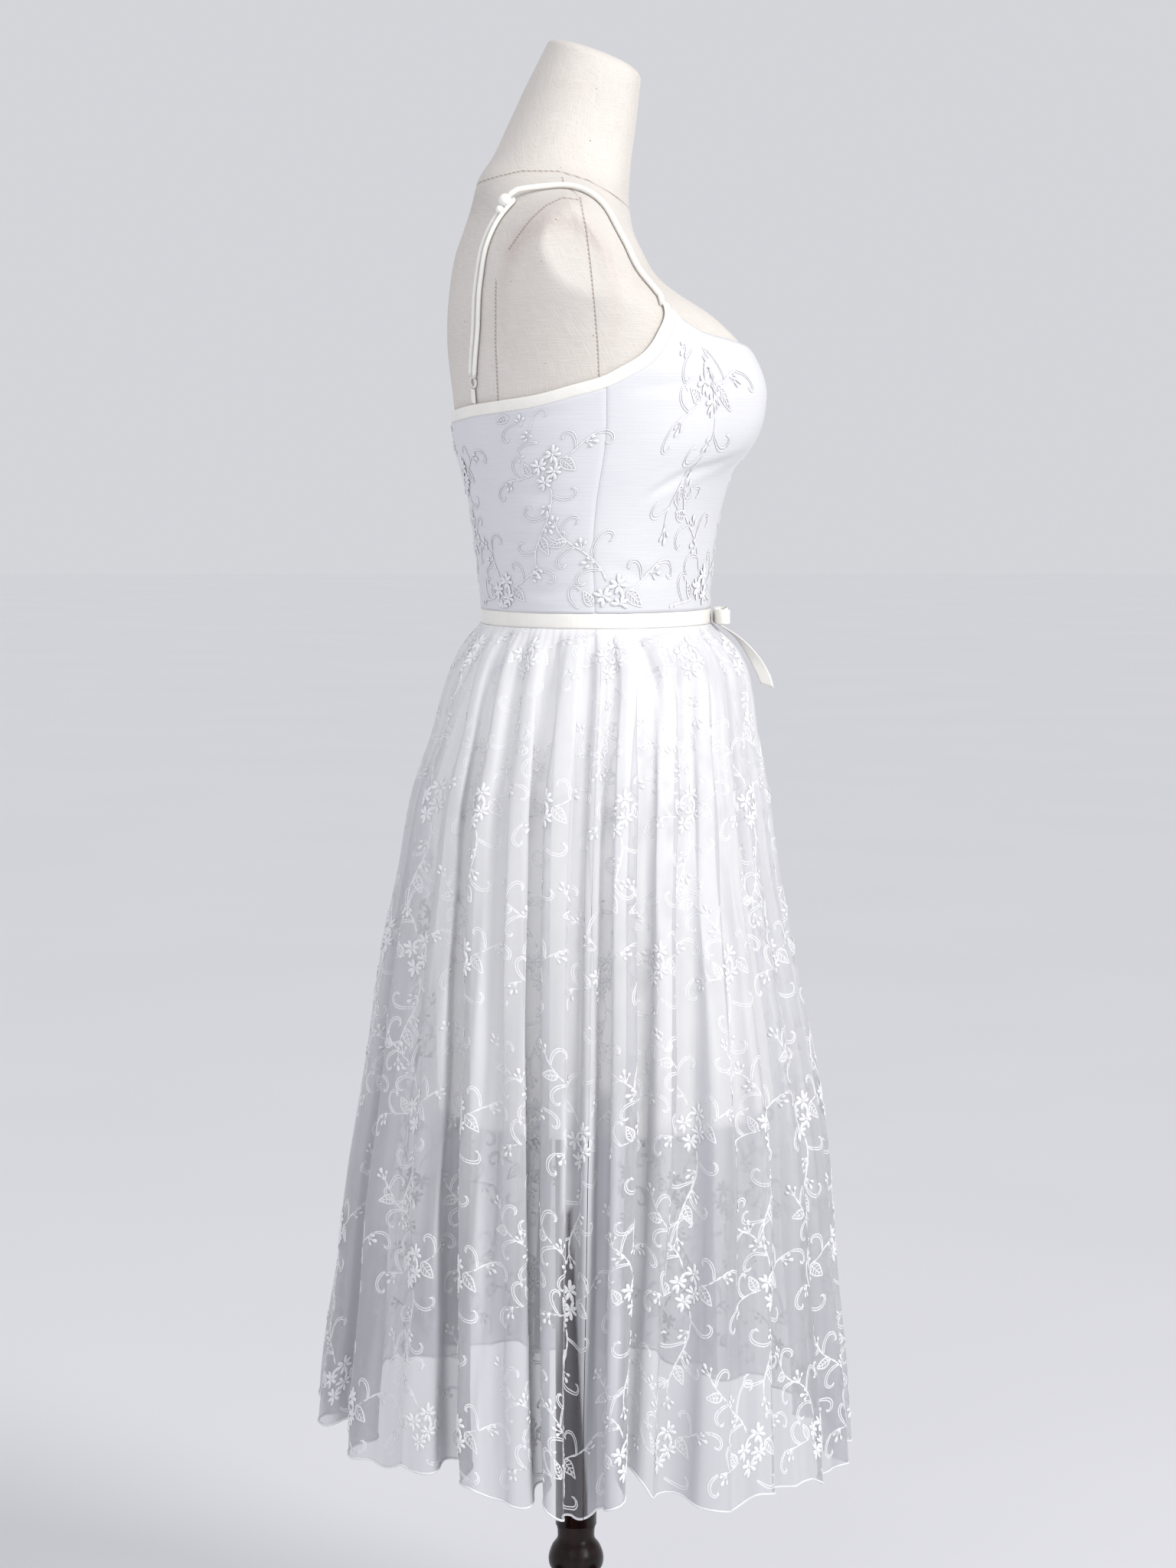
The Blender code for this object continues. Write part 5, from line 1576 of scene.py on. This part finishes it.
def add_leaves(work, uv_layer):
    for vine, share_along, turn, length, width in LEAVES:
        start, heading = from_vine(vine, share_along)
        way = math.radians(heading + turn)
        along, beside = np.array([math.cos(way), math.sin(way)]), np.array([-math.sin(way), math.cos(way)])
        run = np.linspace(0.0, 1.0, 11)
        half = width / 2.0 * np.sin(math.pi * run**0.75) * (1.0 - 0.25 * run)
        for side in (-1.0, 1.0):
            edge = start + along * (run * length)[:, None] + beside * (half * side)[:, None]
            stitch_line(work, uv_layer, edge, THREAD_RADIUS * 1.3)
        stitch_line(work, uv_layer, start + along * (run[::3] * length * 0.92)[:, None])
        for share in (0.22, 0.40, 0.58, 0.76):
            reach = float(np.interp(share, run, half)) * 0.86
            for side in (-1.0, 1.0):
                base = start + along * length * (share - 0.10)
                tip = start + along * length * (share + 0.04) + beside * reach * side
                stitch_line(work, uv_layer, np.array([base, tip]), THREAD_RADIUS * 0.9)


def add_scrolls(work, uv_layer):
    steps = 13
    for vine, share, turn, length, bend_start, bend_end in SCROLLS:
        start, heading = from_vine(vine, share)
        places, way = curl(*start, heading + turn, length, bend_start, bend_end, steps)
        across = np.stack([-np.sin(way), np.cos(way)], axis=-1)
        gap = SCROLL_GAP / 2.0 * np.sin(math.pi * np.linspace(0.06, 1.0, steps)) ** 0.5
        for side in (-1.0, 1.0):
            stitch_line(work, uv_layer, places + across * (gap * side)[:, None])
    for vine in VINES:
        count = round(vine[3] / 0.0042)
        places, way = curl(*vine, count)
        across = np.stack([-np.sin(way), np.cos(way)], axis=-1)
        twist = np.sin(np.arange(count) * math.pi * 0.5) * THREAD_RADIUS * 0.9
        for side in (-1.0, 1.0):
            stitch_line(work, uv_layer, places + across * (twist * side)[:, None], THREAD_RADIUS * 0.95)


def add_forks(work, uv_layer):
    for vine, share, turn in FORKS:
        start, heading = from_vine(vine, share)
        for spread, grown in ((-38.0, 0.85), (4.0, 1.15), (42.0, 0.9)):
            aim = heading + turn + spread * 0.4
            places, way = curl(*start, aim, BUD["stalk"] * grown, spread * 1.6, spread * 1.6, 3)
            stitch_line(work, uv_layer, places)
            pad(
                work, uv_layer, places[-1, 0], places[-1, 1], math.degrees(way[-1]),
                BUD["length"] * grown, BUD["width"] * grown, BUD["height"], segments=6, rings=3, taper=0.45,
            )


def motif_mesh():
    """One repeat of the pattern, flat, with a number on each point for the stitch it is part of."""
    work = bmesh.new()
    uv_layer = work.loops.layers.uv.new("UVMap")
    add_flowers(work, uv_layer)
    add_leaves(work, uv_layer)
    add_scrolls(work, uv_layer)
    add_forks(work, uv_layer)
    bmesh.ops.recalc_face_normals(work, faces=work.faces)
    for edge in work.edges:
        under = [face.normal.z < -0.05 for face in edge.link_faces]
        edge.smooth = len(set(under)) == 1
    work.verts.ensure_lookup_table()
    number = np.full(len(work.verts), -1)
    count = 0
    for vert in work.verts:
        if number[vert.index] >= 0:
            continue
        todo = [vert]
        number[vert.index] = count
        while todo:
            for edge in todo.pop().link_edges:
                for other in edge.verts:
                    if number[other.index] < 0:
                        number[other.index] = count
                        todo.append(other)
        count += 1
    return to_mesh(work, "motif"), number


def make_map(points):
    """What is needed to lay flat shapes on cloth: its points, outward directions and lengths."""
    down_way = np.gradient(points, axis=0)
    round_way = np.gradient(points, axis=1)
    normals = unit(np.cross(round_way, down_way))
    return {
        "points": points,
        "normals": normals,
        "across": arc_along(points, 1),
        "down": arc_along(points, 0).mean(axis=1),
    }


def on_cloth(cloth, column, across, down, lift):
    """Places on the cloth: `across` metres aside of a column's line and `down` from the top."""
    rows, columns = cloth["points"].shape[:2]
    index = np.arange(columns)
    at_row = np.clip(np.interp(down, cloth["down"], np.arange(rows)), 0.0, rows - 1.001)
    low = at_row.astype(int)
    part = at_row - low
    found, facing = np.zeros((len(down), 3)), np.zeros((len(down), 3))
    for row in np.unique(low):
        chosen = np.where(low == row)[0]
        for step, weight in ((0, 1.0 - part[chosen]), (1, part[chosen])):
            reach = cloth["across"][row + step]
            at = np.interp(column[chosen], index, reach) + across[chosen]
            where = np.clip(np.interp(at, reach, index), 0.0, columns - 1.001)
            left = where.astype(int)
            share = (where - left)[:, None]
            for store, source in ((found, cloth["points"]), (facing, cloth["normals"])):
                value = source[row + step, left] * (1.0 - share) + source[row + step, left + 1] * share
                store[chosen] += value * weight[:, None]
    return found + unit(facing) * lift[:, None]


def lay_motifs(name, motif, number, cloth, centres, edges, lift=0.0):
    """Copies of the motif laid on a cloth. Stitches that would cross an edge are left out."""
    count = len(motif.vertices)
    flat = np.empty(count * 3)
    motif.vertices.foreach_get("co", flat)
    flat = flat.reshape(-1, 3)
    work = bmesh.new()
    for _ in centres:
        work.from_mesh(motif)
    columns = np.repeat([c[0] for c in centres], count)
    drops = np.repeat([c[1] for c in centres], count)
    hands = np.repeat([c[2] for c in centres], count)
    shape = np.tile(flat, (len(centres), 1))
    down = drops - shape[:, 1]
    places = on_cloth(cloth, columns, -shape[:, 0] * hands, down, shape[:, 2] + lift)
    low, high = edges
    outside = (down < low) | (down > high)
    stitches = np.concatenate([number + k * (number.max() + 1) for k in range(len(centres))])
    dropped = np.zeros(stitches.max() + 1, bool)
    dropped[stitches[outside]] = True
    mesh = to_mesh(work, name)
    mesh.vertices.foreach_set("co", places.reshape(-1).astype(np.float32))
    mesh.flip_normals()
    if dropped.any():
        work = bmesh.new()
        work.from_mesh(mesh)
        work.verts.ensure_lookup_table()
        gone = [work.verts[i] for i in np.where(dropped[stitches])[0]]
        bmesh.ops.delete(work, geom=gone, context="VERTS")
        bpy.data.meshes.remove(mesh)
        mesh = to_mesh(work, name)
    return settle(name, mesh, THREAD)


def embroider_skirt(motif, number):
    lines, _ = skirt_columns()
    margin = STEPS_A_FOLD * 6
    before, after = lines[-margin:].copy(), lines[:margin].copy()
    before[:, :2] -= 360.0
    after[:, :2] += 360.0
    cloth = make_map(skirt_points(np.concatenate([before, lines, after])))
    rows = [FIRST_CLUSTER_DROP + REPEAT_DOWN * k for k in range(6)]
    length = float(cloth["down"][-1])
    centres = []
    for k, drop in enumerate(rows):
        row = int(np.interp(drop, cloth["down"], np.arange(SKIRT_ROWS)))
        reach = cloth["across"][row]
        start, end = reach[margin], reach[margin + len(lines)]
        count = max(1, round((end - start) / REPEAT_ACROSS))
        for j in range(count):
            at = start + (end - start) * (j + 0.5 * (k % 2) + 0.25) / count
            column = float(np.interp(at, reach, np.arange(len(reach))))
            centres.append((column, drop, 1.0))
    quarter = len(lines) / 4.0
    for k, name in enumerate(("back_left", "front_left", "front_right", "back_right")):
        chosen = [c for c in centres if quarter * k <= (c[0] - margin) % len(lines) < quarter * (k + 1)]
        edges = (0.0015, length - 0.004)
        lay_motifs(f"skirt_embroidery_{name}", motif, number, cloth, chosen, edges)


def embroider_bodice(motif, number, inner):
    angles = np.arange(-230.0, 230.0, 1.2)
    points, _ = bodice_grid(angles, inner, BODICE_LIFT + 0.0004 + BODICE_WALL)
    cloth = make_map(points)
    length = float(cloth["down"][-1])
    centres = []
    for degrees, drop in BODICE_CLUSTERS:
        centres.append((float(np.interp(degrees, angles, np.arange(len(angles)))), drop, 1.0))
    edges = (0.002, length - 0.002)
    lay_motifs(
        "bodice_embroidery", motif, number, cloth, centres, edges, BODICE_STITCH_LIFT
    )


# Straps


def form_tree(piece):
    work = bmesh.new()
    work.from_mesh(piece.data)
    tree = BVHTree.FromBMesh(work)
    work.free()
    return tree


def seat(points, tree, lift):
    """The points moved so that they lie `lift` outside the form."""
    lifts = lift if isinstance(lift, list) else [lift] * len(points)
    seated = []
    for place, height in zip(points, lifts):
        near, normal, _, _ = tree.find_nearest(place)
        seated.append(near + normal * height)
    for _ in range(3):
        soft = [seated[0]]
        soft += [(a + b * 2 + c) / 4 for a, b, c in zip(seated, seated[1:], seated[2:])]
        seated = soft + [seated[-1]]
    clear = []
    for place, height in zip(seated, lifts):
        near, normal, _, _ = tree.find_nearest(place)
        clear.append(near + normal * max(height, (place - near).dot(normal)))
    return clear


def strap_frame(place, tree, along):
    """Across-strap and outward directions on the form at a place."""
    _, normal, _, _ = tree.find_nearest(place)
    across = along.cross(normal).normalized()
    return across, normal


def loop_route(tree):
    """The back loop's middle line on the form, and its two strands joined round the button."""
    count = 30
    centre = seat(smooth_path(BACK_LOOP_ROUTE, count), tree, ON_FORM + LOOP_RADIUS)
    left, right = [], []
    for i, place in enumerate(centre):
        along = (centre[min(i + 1, count - 1)] - centre[max(i - 1, 0)]).normalized()
        across, _ = strap_frame(place, tree, along)
        narrowing = 1.0 - 0.25 * (i / count) ** 2
        left.append(place + across * LOOP_SPREAD * narrowing)
        right.append(place - across * LOOP_SPREAD * narrowing)
    along = (centre[1] - centre[0]).normalized()
    across, _ = strap_frame(centre[0], tree, along)
    arc = []
    for k in range(1, 9):
        angle = math.pi * k / 9
        arc.append(centre[0] + across * LOOP_SPREAD * math.cos(angle) - along * LOOP_SPREAD * math.sin(angle))
    strands = left[::-1] + arc + right
    return centre, seat(strands, tree, ON_FORM + LOOP_RADIUS)


def covered_ball(name, centre, radius, way):
    """A ball of gathered cloth with small tucks round its foot."""
    work = bmesh.new()
    bmesh.ops.create_uvsphere(work, u_segments=28, v_segments=18, radius=radius)
    for vert in work.verts:
        turn = math.atan2(vert.co.y, vert.co.x)
        low = max(0.0, -vert.co.z / radius)
        vert.co = vert.co * (1.0 + 0.05 * low * math.sin(9 * turn))
    bmesh.ops.rotate(work, verts=work.verts, cent=(0, 0, 0), matrix=way.to_track_quat("Z", "Y").to_matrix())
    bmesh.ops.translate(work, verts=work.verts, vec=centre)
    mesh = to_mesh(work, name)
    flat = np.empty(len(mesh.vertices) * 3)
    mesh.vertices.foreach_get("co", flat)
    set_uv(mesh, flat.reshape(-1, 3)[:, 1:])
    return mesh


def cord_piece(name, path, radius, finish, replaces, sides=14):
    radii = [radius] * len(path)
    mesh = closed_skin(name, tube_points(path, radii, sides))
    return settle(name, mesh, finish, replaces=replaces)


def build_straps(form):
    tree = form_tree(form)
    centre, strands = loop_route(tree)
    along = (centre[3] - centre[0]).normalized()
    _, normal = strap_frame(centre[0], tree, along)
    button = centre[0] + along * BUTTON_BELOW_LOOP_TOP + normal * BUTTON_SEAT
    knot_down = BUTTON_BELOW_LOOP_TOP + BUTTON_RADIUS + KNOT_RADIUS + KNOT_SPACE
    knot = centre[0] + along * knot_down + normal * KNOT_SEAT
    route = smooth_path(FRONT_STRAP_ROUTE, 46)
    climb = np.interp(np.arange(46) / 45.0, [0.0, 0.86, 0.91, 0.955, 1.0], [0.0, 0.0, *STRAP_CLIMB])
    strap = seat(route, tree, [ON_FORM + STRAP_RADIUS + float(rise) for rise in climb])
    root = on_form(STRAP_POINT_ANGLE + 1.6, STRAP_ROOT_HEIGHT, BINDING_LIFT + BINDING_WALL / 2)
    strap.insert(0, Vector(root))
    lead_in = button - (button - strap[-1]).normalized() * (BUTTON_RADIUS + STRAP_END_SPACE)
    strap += [strap[-1].lerp(lead_in, STRAP_LEAD_SHARE) + normal * STRAP_LEAD_LIFT, lead_in]
    down = (centre[-1] - centre[-2]).normalized()
    to_ring = RING_RADIUS + RING_WIRE
    ring_place = seat([centre[-1] + down * to_ring], tree, ON_FORM + RING_WIRE)[0]
    across, outward = strap_frame(ring_place, tree, down)
    tab_top = seat([ring_place + down * (to_ring + SEAM_GAP)], tree, ON_FORM)[0]
    tab_angle = 180.0 - math.degrees(math.asin(-tab_top.x / float(read(FORM, "half_width", tab_top.z))))
    edge = float(read(ARMHOLE_EDGE, "height", tab_angle, key="angle")) + TAB_EDGE_SPACE
    tab_bottom = Vector(on_form(tab_angle, edge, ON_FORM))
    circle = []
    for angle in np.radians(np.linspace(RING_OPENING / 2.0, 360.0 - RING_OPENING / 2.0, 40) - 90.0):
        circle.append(ring_place + (across * math.cos(angle) - down * math.sin(angle)) * RING_RADIUS)
    for side, flip in (("right", 1.0), ("left", -1.0)):
        line = flipped(strap, flip)
        cord_piece(f"shoulder_strap_{side}", line, STRAP_RADIUS, SATIN, [f"strap_front_{side}"])
        line = flipped(strands, flip)
        cord_piece(f"back_loop_{side}", line, LOOP_RADIUS, SATIN, [f"strap_loop_{side}"])
        line = flipped(circle, flip)
        cord_piece(f"small_ring_{side}", line, RING_WIRE, ENAMEL, [f"strap_ring_{side}"], 10)
        way = Vector(flipped(normal, flip))
        for part, spot, radius in (("button", button, BUTTON_RADIUS), ("knot", knot, KNOT_RADIUS)):
            mesh = covered_ball(f"{part}_{side}", Vector(flipped(spot, flip)), radius, way)
            settle(f"strap_{part}_cover_{side}", mesh, SATIN, replaces=[f"strap_{part}_{side}"])
        rings = []
        profile = rounded_strip(14)
        for share in np.linspace(0.0, 1.0, 9):
            place = tab_top.lerp(tab_bottom, float(share))
            ring = []
            for aside, up in profile:
                beside = across * TAB_HALF_WIDTH * (2 * aside - 1)
                ring.append(place + beside + outward * (SEAM_GAP + TAB_WALL * up))
            rings.append(flipped(ring, flip))
        mesh = closed_skin(f"tab_{side}", np.array(rings))
        settle(f"ring_tab_{side}", mesh, SATIN, replaces=[f"strap_tab_{side}"])


# Bow


def build_bow():
    work = bmesh.new()
    bmesh.ops.create_cube(work, size=1.0)
    bmesh.ops.scale(work, verts=work.verts, vec=BOW_KNOT_SIZE)
    bmesh.ops.bevel(
        work, geom=list(work.edges), offset=0.0030, segments=5, profile=0.5, affect="EDGES", material=-1
    )
    bmesh.ops.subdivide_edges(work, edges=list(work.edges), cuts=1, use_grid_fill=True)
    for vert in work.verts:
        vert.co.y -= 0.0005 * math.sin(vert.co.z * 900.0) if vert.co.y < 0 else 0.0
    bmesh.ops.translate(work, verts=work.verts, vec=BOW_KNOT_PLACE)
    mesh = to_mesh(work, "bow_knot_shape")
    flat = np.empty(len(mesh.vertices) * 3)
    mesh.vertices.foreach_get("co", flat)
    set_uv(mesh, flat.reshape(-1, 3)[:, [0, 2]])
    made = [settle("ribbon_knot", mesh, SATIN, replaces=["bow_knot"])]
    middle = BOW_KNOT_PLACE[2]
    for side, flip in (("right", -1.0), ("left", 1.0)):
        path = smooth_path([(x * flip, y, middle) for x, y in BOW_LOOP_PATH], 48)
        rows = []
        for share in np.linspace(0.5, -0.5, 11):
            row = []
            for i, place in enumerate(path):
                run = i / (len(path) - 1)
                pinch = 1.0 - 0.30 * abs(math.cos(math.pi * run)) ** 6
                cup = 0.0012 * (1.0 - (2 * share) ** 2) * math.sin(math.pi * run)
                row.append(tuple(place + Vector((cup * flip, 0.0, share * BOW_RIBBON * pinch))))
            rows.append(row)
        points = np.array(rows)
        mesh = skin(f"loop_{side}", points, middle=(BOW_LOOP_MIDDLE[0] * flip, BOW_LOOP_MIDDLE[1]))
        loop = settle(
            f"ribbon_loop_{side}", mesh, SATIN, replaces=[f"bow_loop_{side}"], wall=BOW_WALL
        )
        hang = smooth_path([(x * flip, y, z) for x, y, z in BOW_TAIL_PATH], 30)
        rows = []
        for i, place in enumerate(hang):
            run = i / (len(hang) - 1)
            half = TAIL_ROOT + TAIL_SPREAD * min(1.0, run * 2.2)
            twist = math.radians(TAIL_TWIST) * min(1.0, run * 1.3)
            row = []
            for share in np.linspace(-1.0, 1.0, 9):
                slant = TAIL_SLANT * (share * 0.5 + 0.5) * max(0.0, (run - 0.9) / 0.1)
                curl_in = 0.0012 * share**2 * (1.0 - run)
                aside = half * share * math.cos(twist) * flip
                ahead = curl_in - half * share * math.sin(twist)
                row.append(tuple(place + Vector((aside, ahead, -slant))))
            rows.append(row)
        points = np.array(rows)
        mesh = skin(f"tail_{side}", points)
        tail = settle(
            f"ribbon_tail_{side}", mesh, SATIN, replaces=[f"bow_tail_{side}"], wall=BOW_WALL
        )


# Stand


def turned(name, radii, heights, count=64):
    """A turned piece from its outline, top to bottom."""
    degrees = np.linspace(0.0, 2 * math.pi, count, endpoint=False)
    rings = []
    for radius, height in zip(radii, heights):
        x, y = radius * np.cos(degrees), radius * np.sin(degrees)
        rings.append(np.stack([x, y, np.full(count, height)], axis=-1))
    return closed_skin(name, np.array(rings))


def build_stand():
    top = FORM_BOTTOM - SEAM_GAP
    low = COLUMN_TOP - POLE_SUNK
    heights = np.concatenate([[top, top - 0.001], np.linspace(top - 0.002, low, 14)])
    radii = np.full(len(heights), POLE_RADIUS)
    radii[0] -= 0.001
    settle("round_pole", turned("pole_shape", radii, heights, 48), WOOD, replaces=["pole"])

    outline = [Vector((r, 0.0, h)) for r, h in zip(COLUMN["radius"][2:-1], COLUMN["height"][2:-1])]
    fine = smooth_path(outline, 90)
    radii = [0.0005, 0.0165, 0.0176, 0.0180] + [p.x for p in fine] + [0.0005]
    heights = [COLUMN_TOP, COLUMN_TOP, COLUMN_TOP - 0.0004, COLUMN_TOP - 0.0016]
    heights += [p.z for p in fine] + [float(COLUMN["height"][-1])]
    settle("turned_post", turned("post_shape", radii, heights), WOOD, replaces=["turned_column"])

    for number, degrees in LEG_ANGLES.items():
        way = Vector((math.cos(math.radians(degrees)), math.sin(math.radians(degrees)), 0.0))
        raw = []
        for reach, height in zip(LEG["reach"], LEG["height"]):
            raw.append(way * (LEG_START + reach) + Vector((0.0, 0.0, height)))
        path = smooth_path(raw, 60)
        widths = [float(read(LEG, "radius", p.dot(way) - LEG_START, key="reach")) for p in path]
        side = way.cross(Vector((0.0, 0.0, 1.0)))
        mesh = closed_skin(f"leg_shape_{number}", tube_points(path, widths, 24, squash=(side, 0.86)))
        settle(f"curved_leg_{number}", mesh, WOOD, replaces=[f"leg_{number}"])
        centre = path[-1].xy.to_3d() - way * FOOT_INSET
        edge = 0.0012
        inset = FOOT_RADIUS - edge
        radii = [0.0005, FOOT_RADIUS - 2 * edge, inset, FOOT_RADIUS, FOOT_RADIUS, inset, 0.0005]
        heights = [FOOT_HEIGHT, FOOT_HEIGHT, FOOT_HEIGHT - edge * 0.4, FOOT_HEIGHT - 2 * edge, edge, 0.0, 0.0]
        mesh = turned(f"pad_shape_{number}", radii, heights, 40)
        mesh.transform(Matrix.Translation(centre))
        settle(f"foot_pad_{number}", mesh, WOOD, replaces=[f"foot_{number}"])


def main():
    build_view()
    form = build_form()
    lining = build_lining()
    skirt = build_skirt()
    bodice, bindings, inner = build_bodice()
    band, band_rings = build_waistband()
    motif, number = motif_mesh()
    embroider_skirt(motif, number)
    embroider_bodice(motif, number, inner)
    bpy.data.meshes.remove(motif)
    build_straps(form)
    build_bow()
    build_stand()


main()
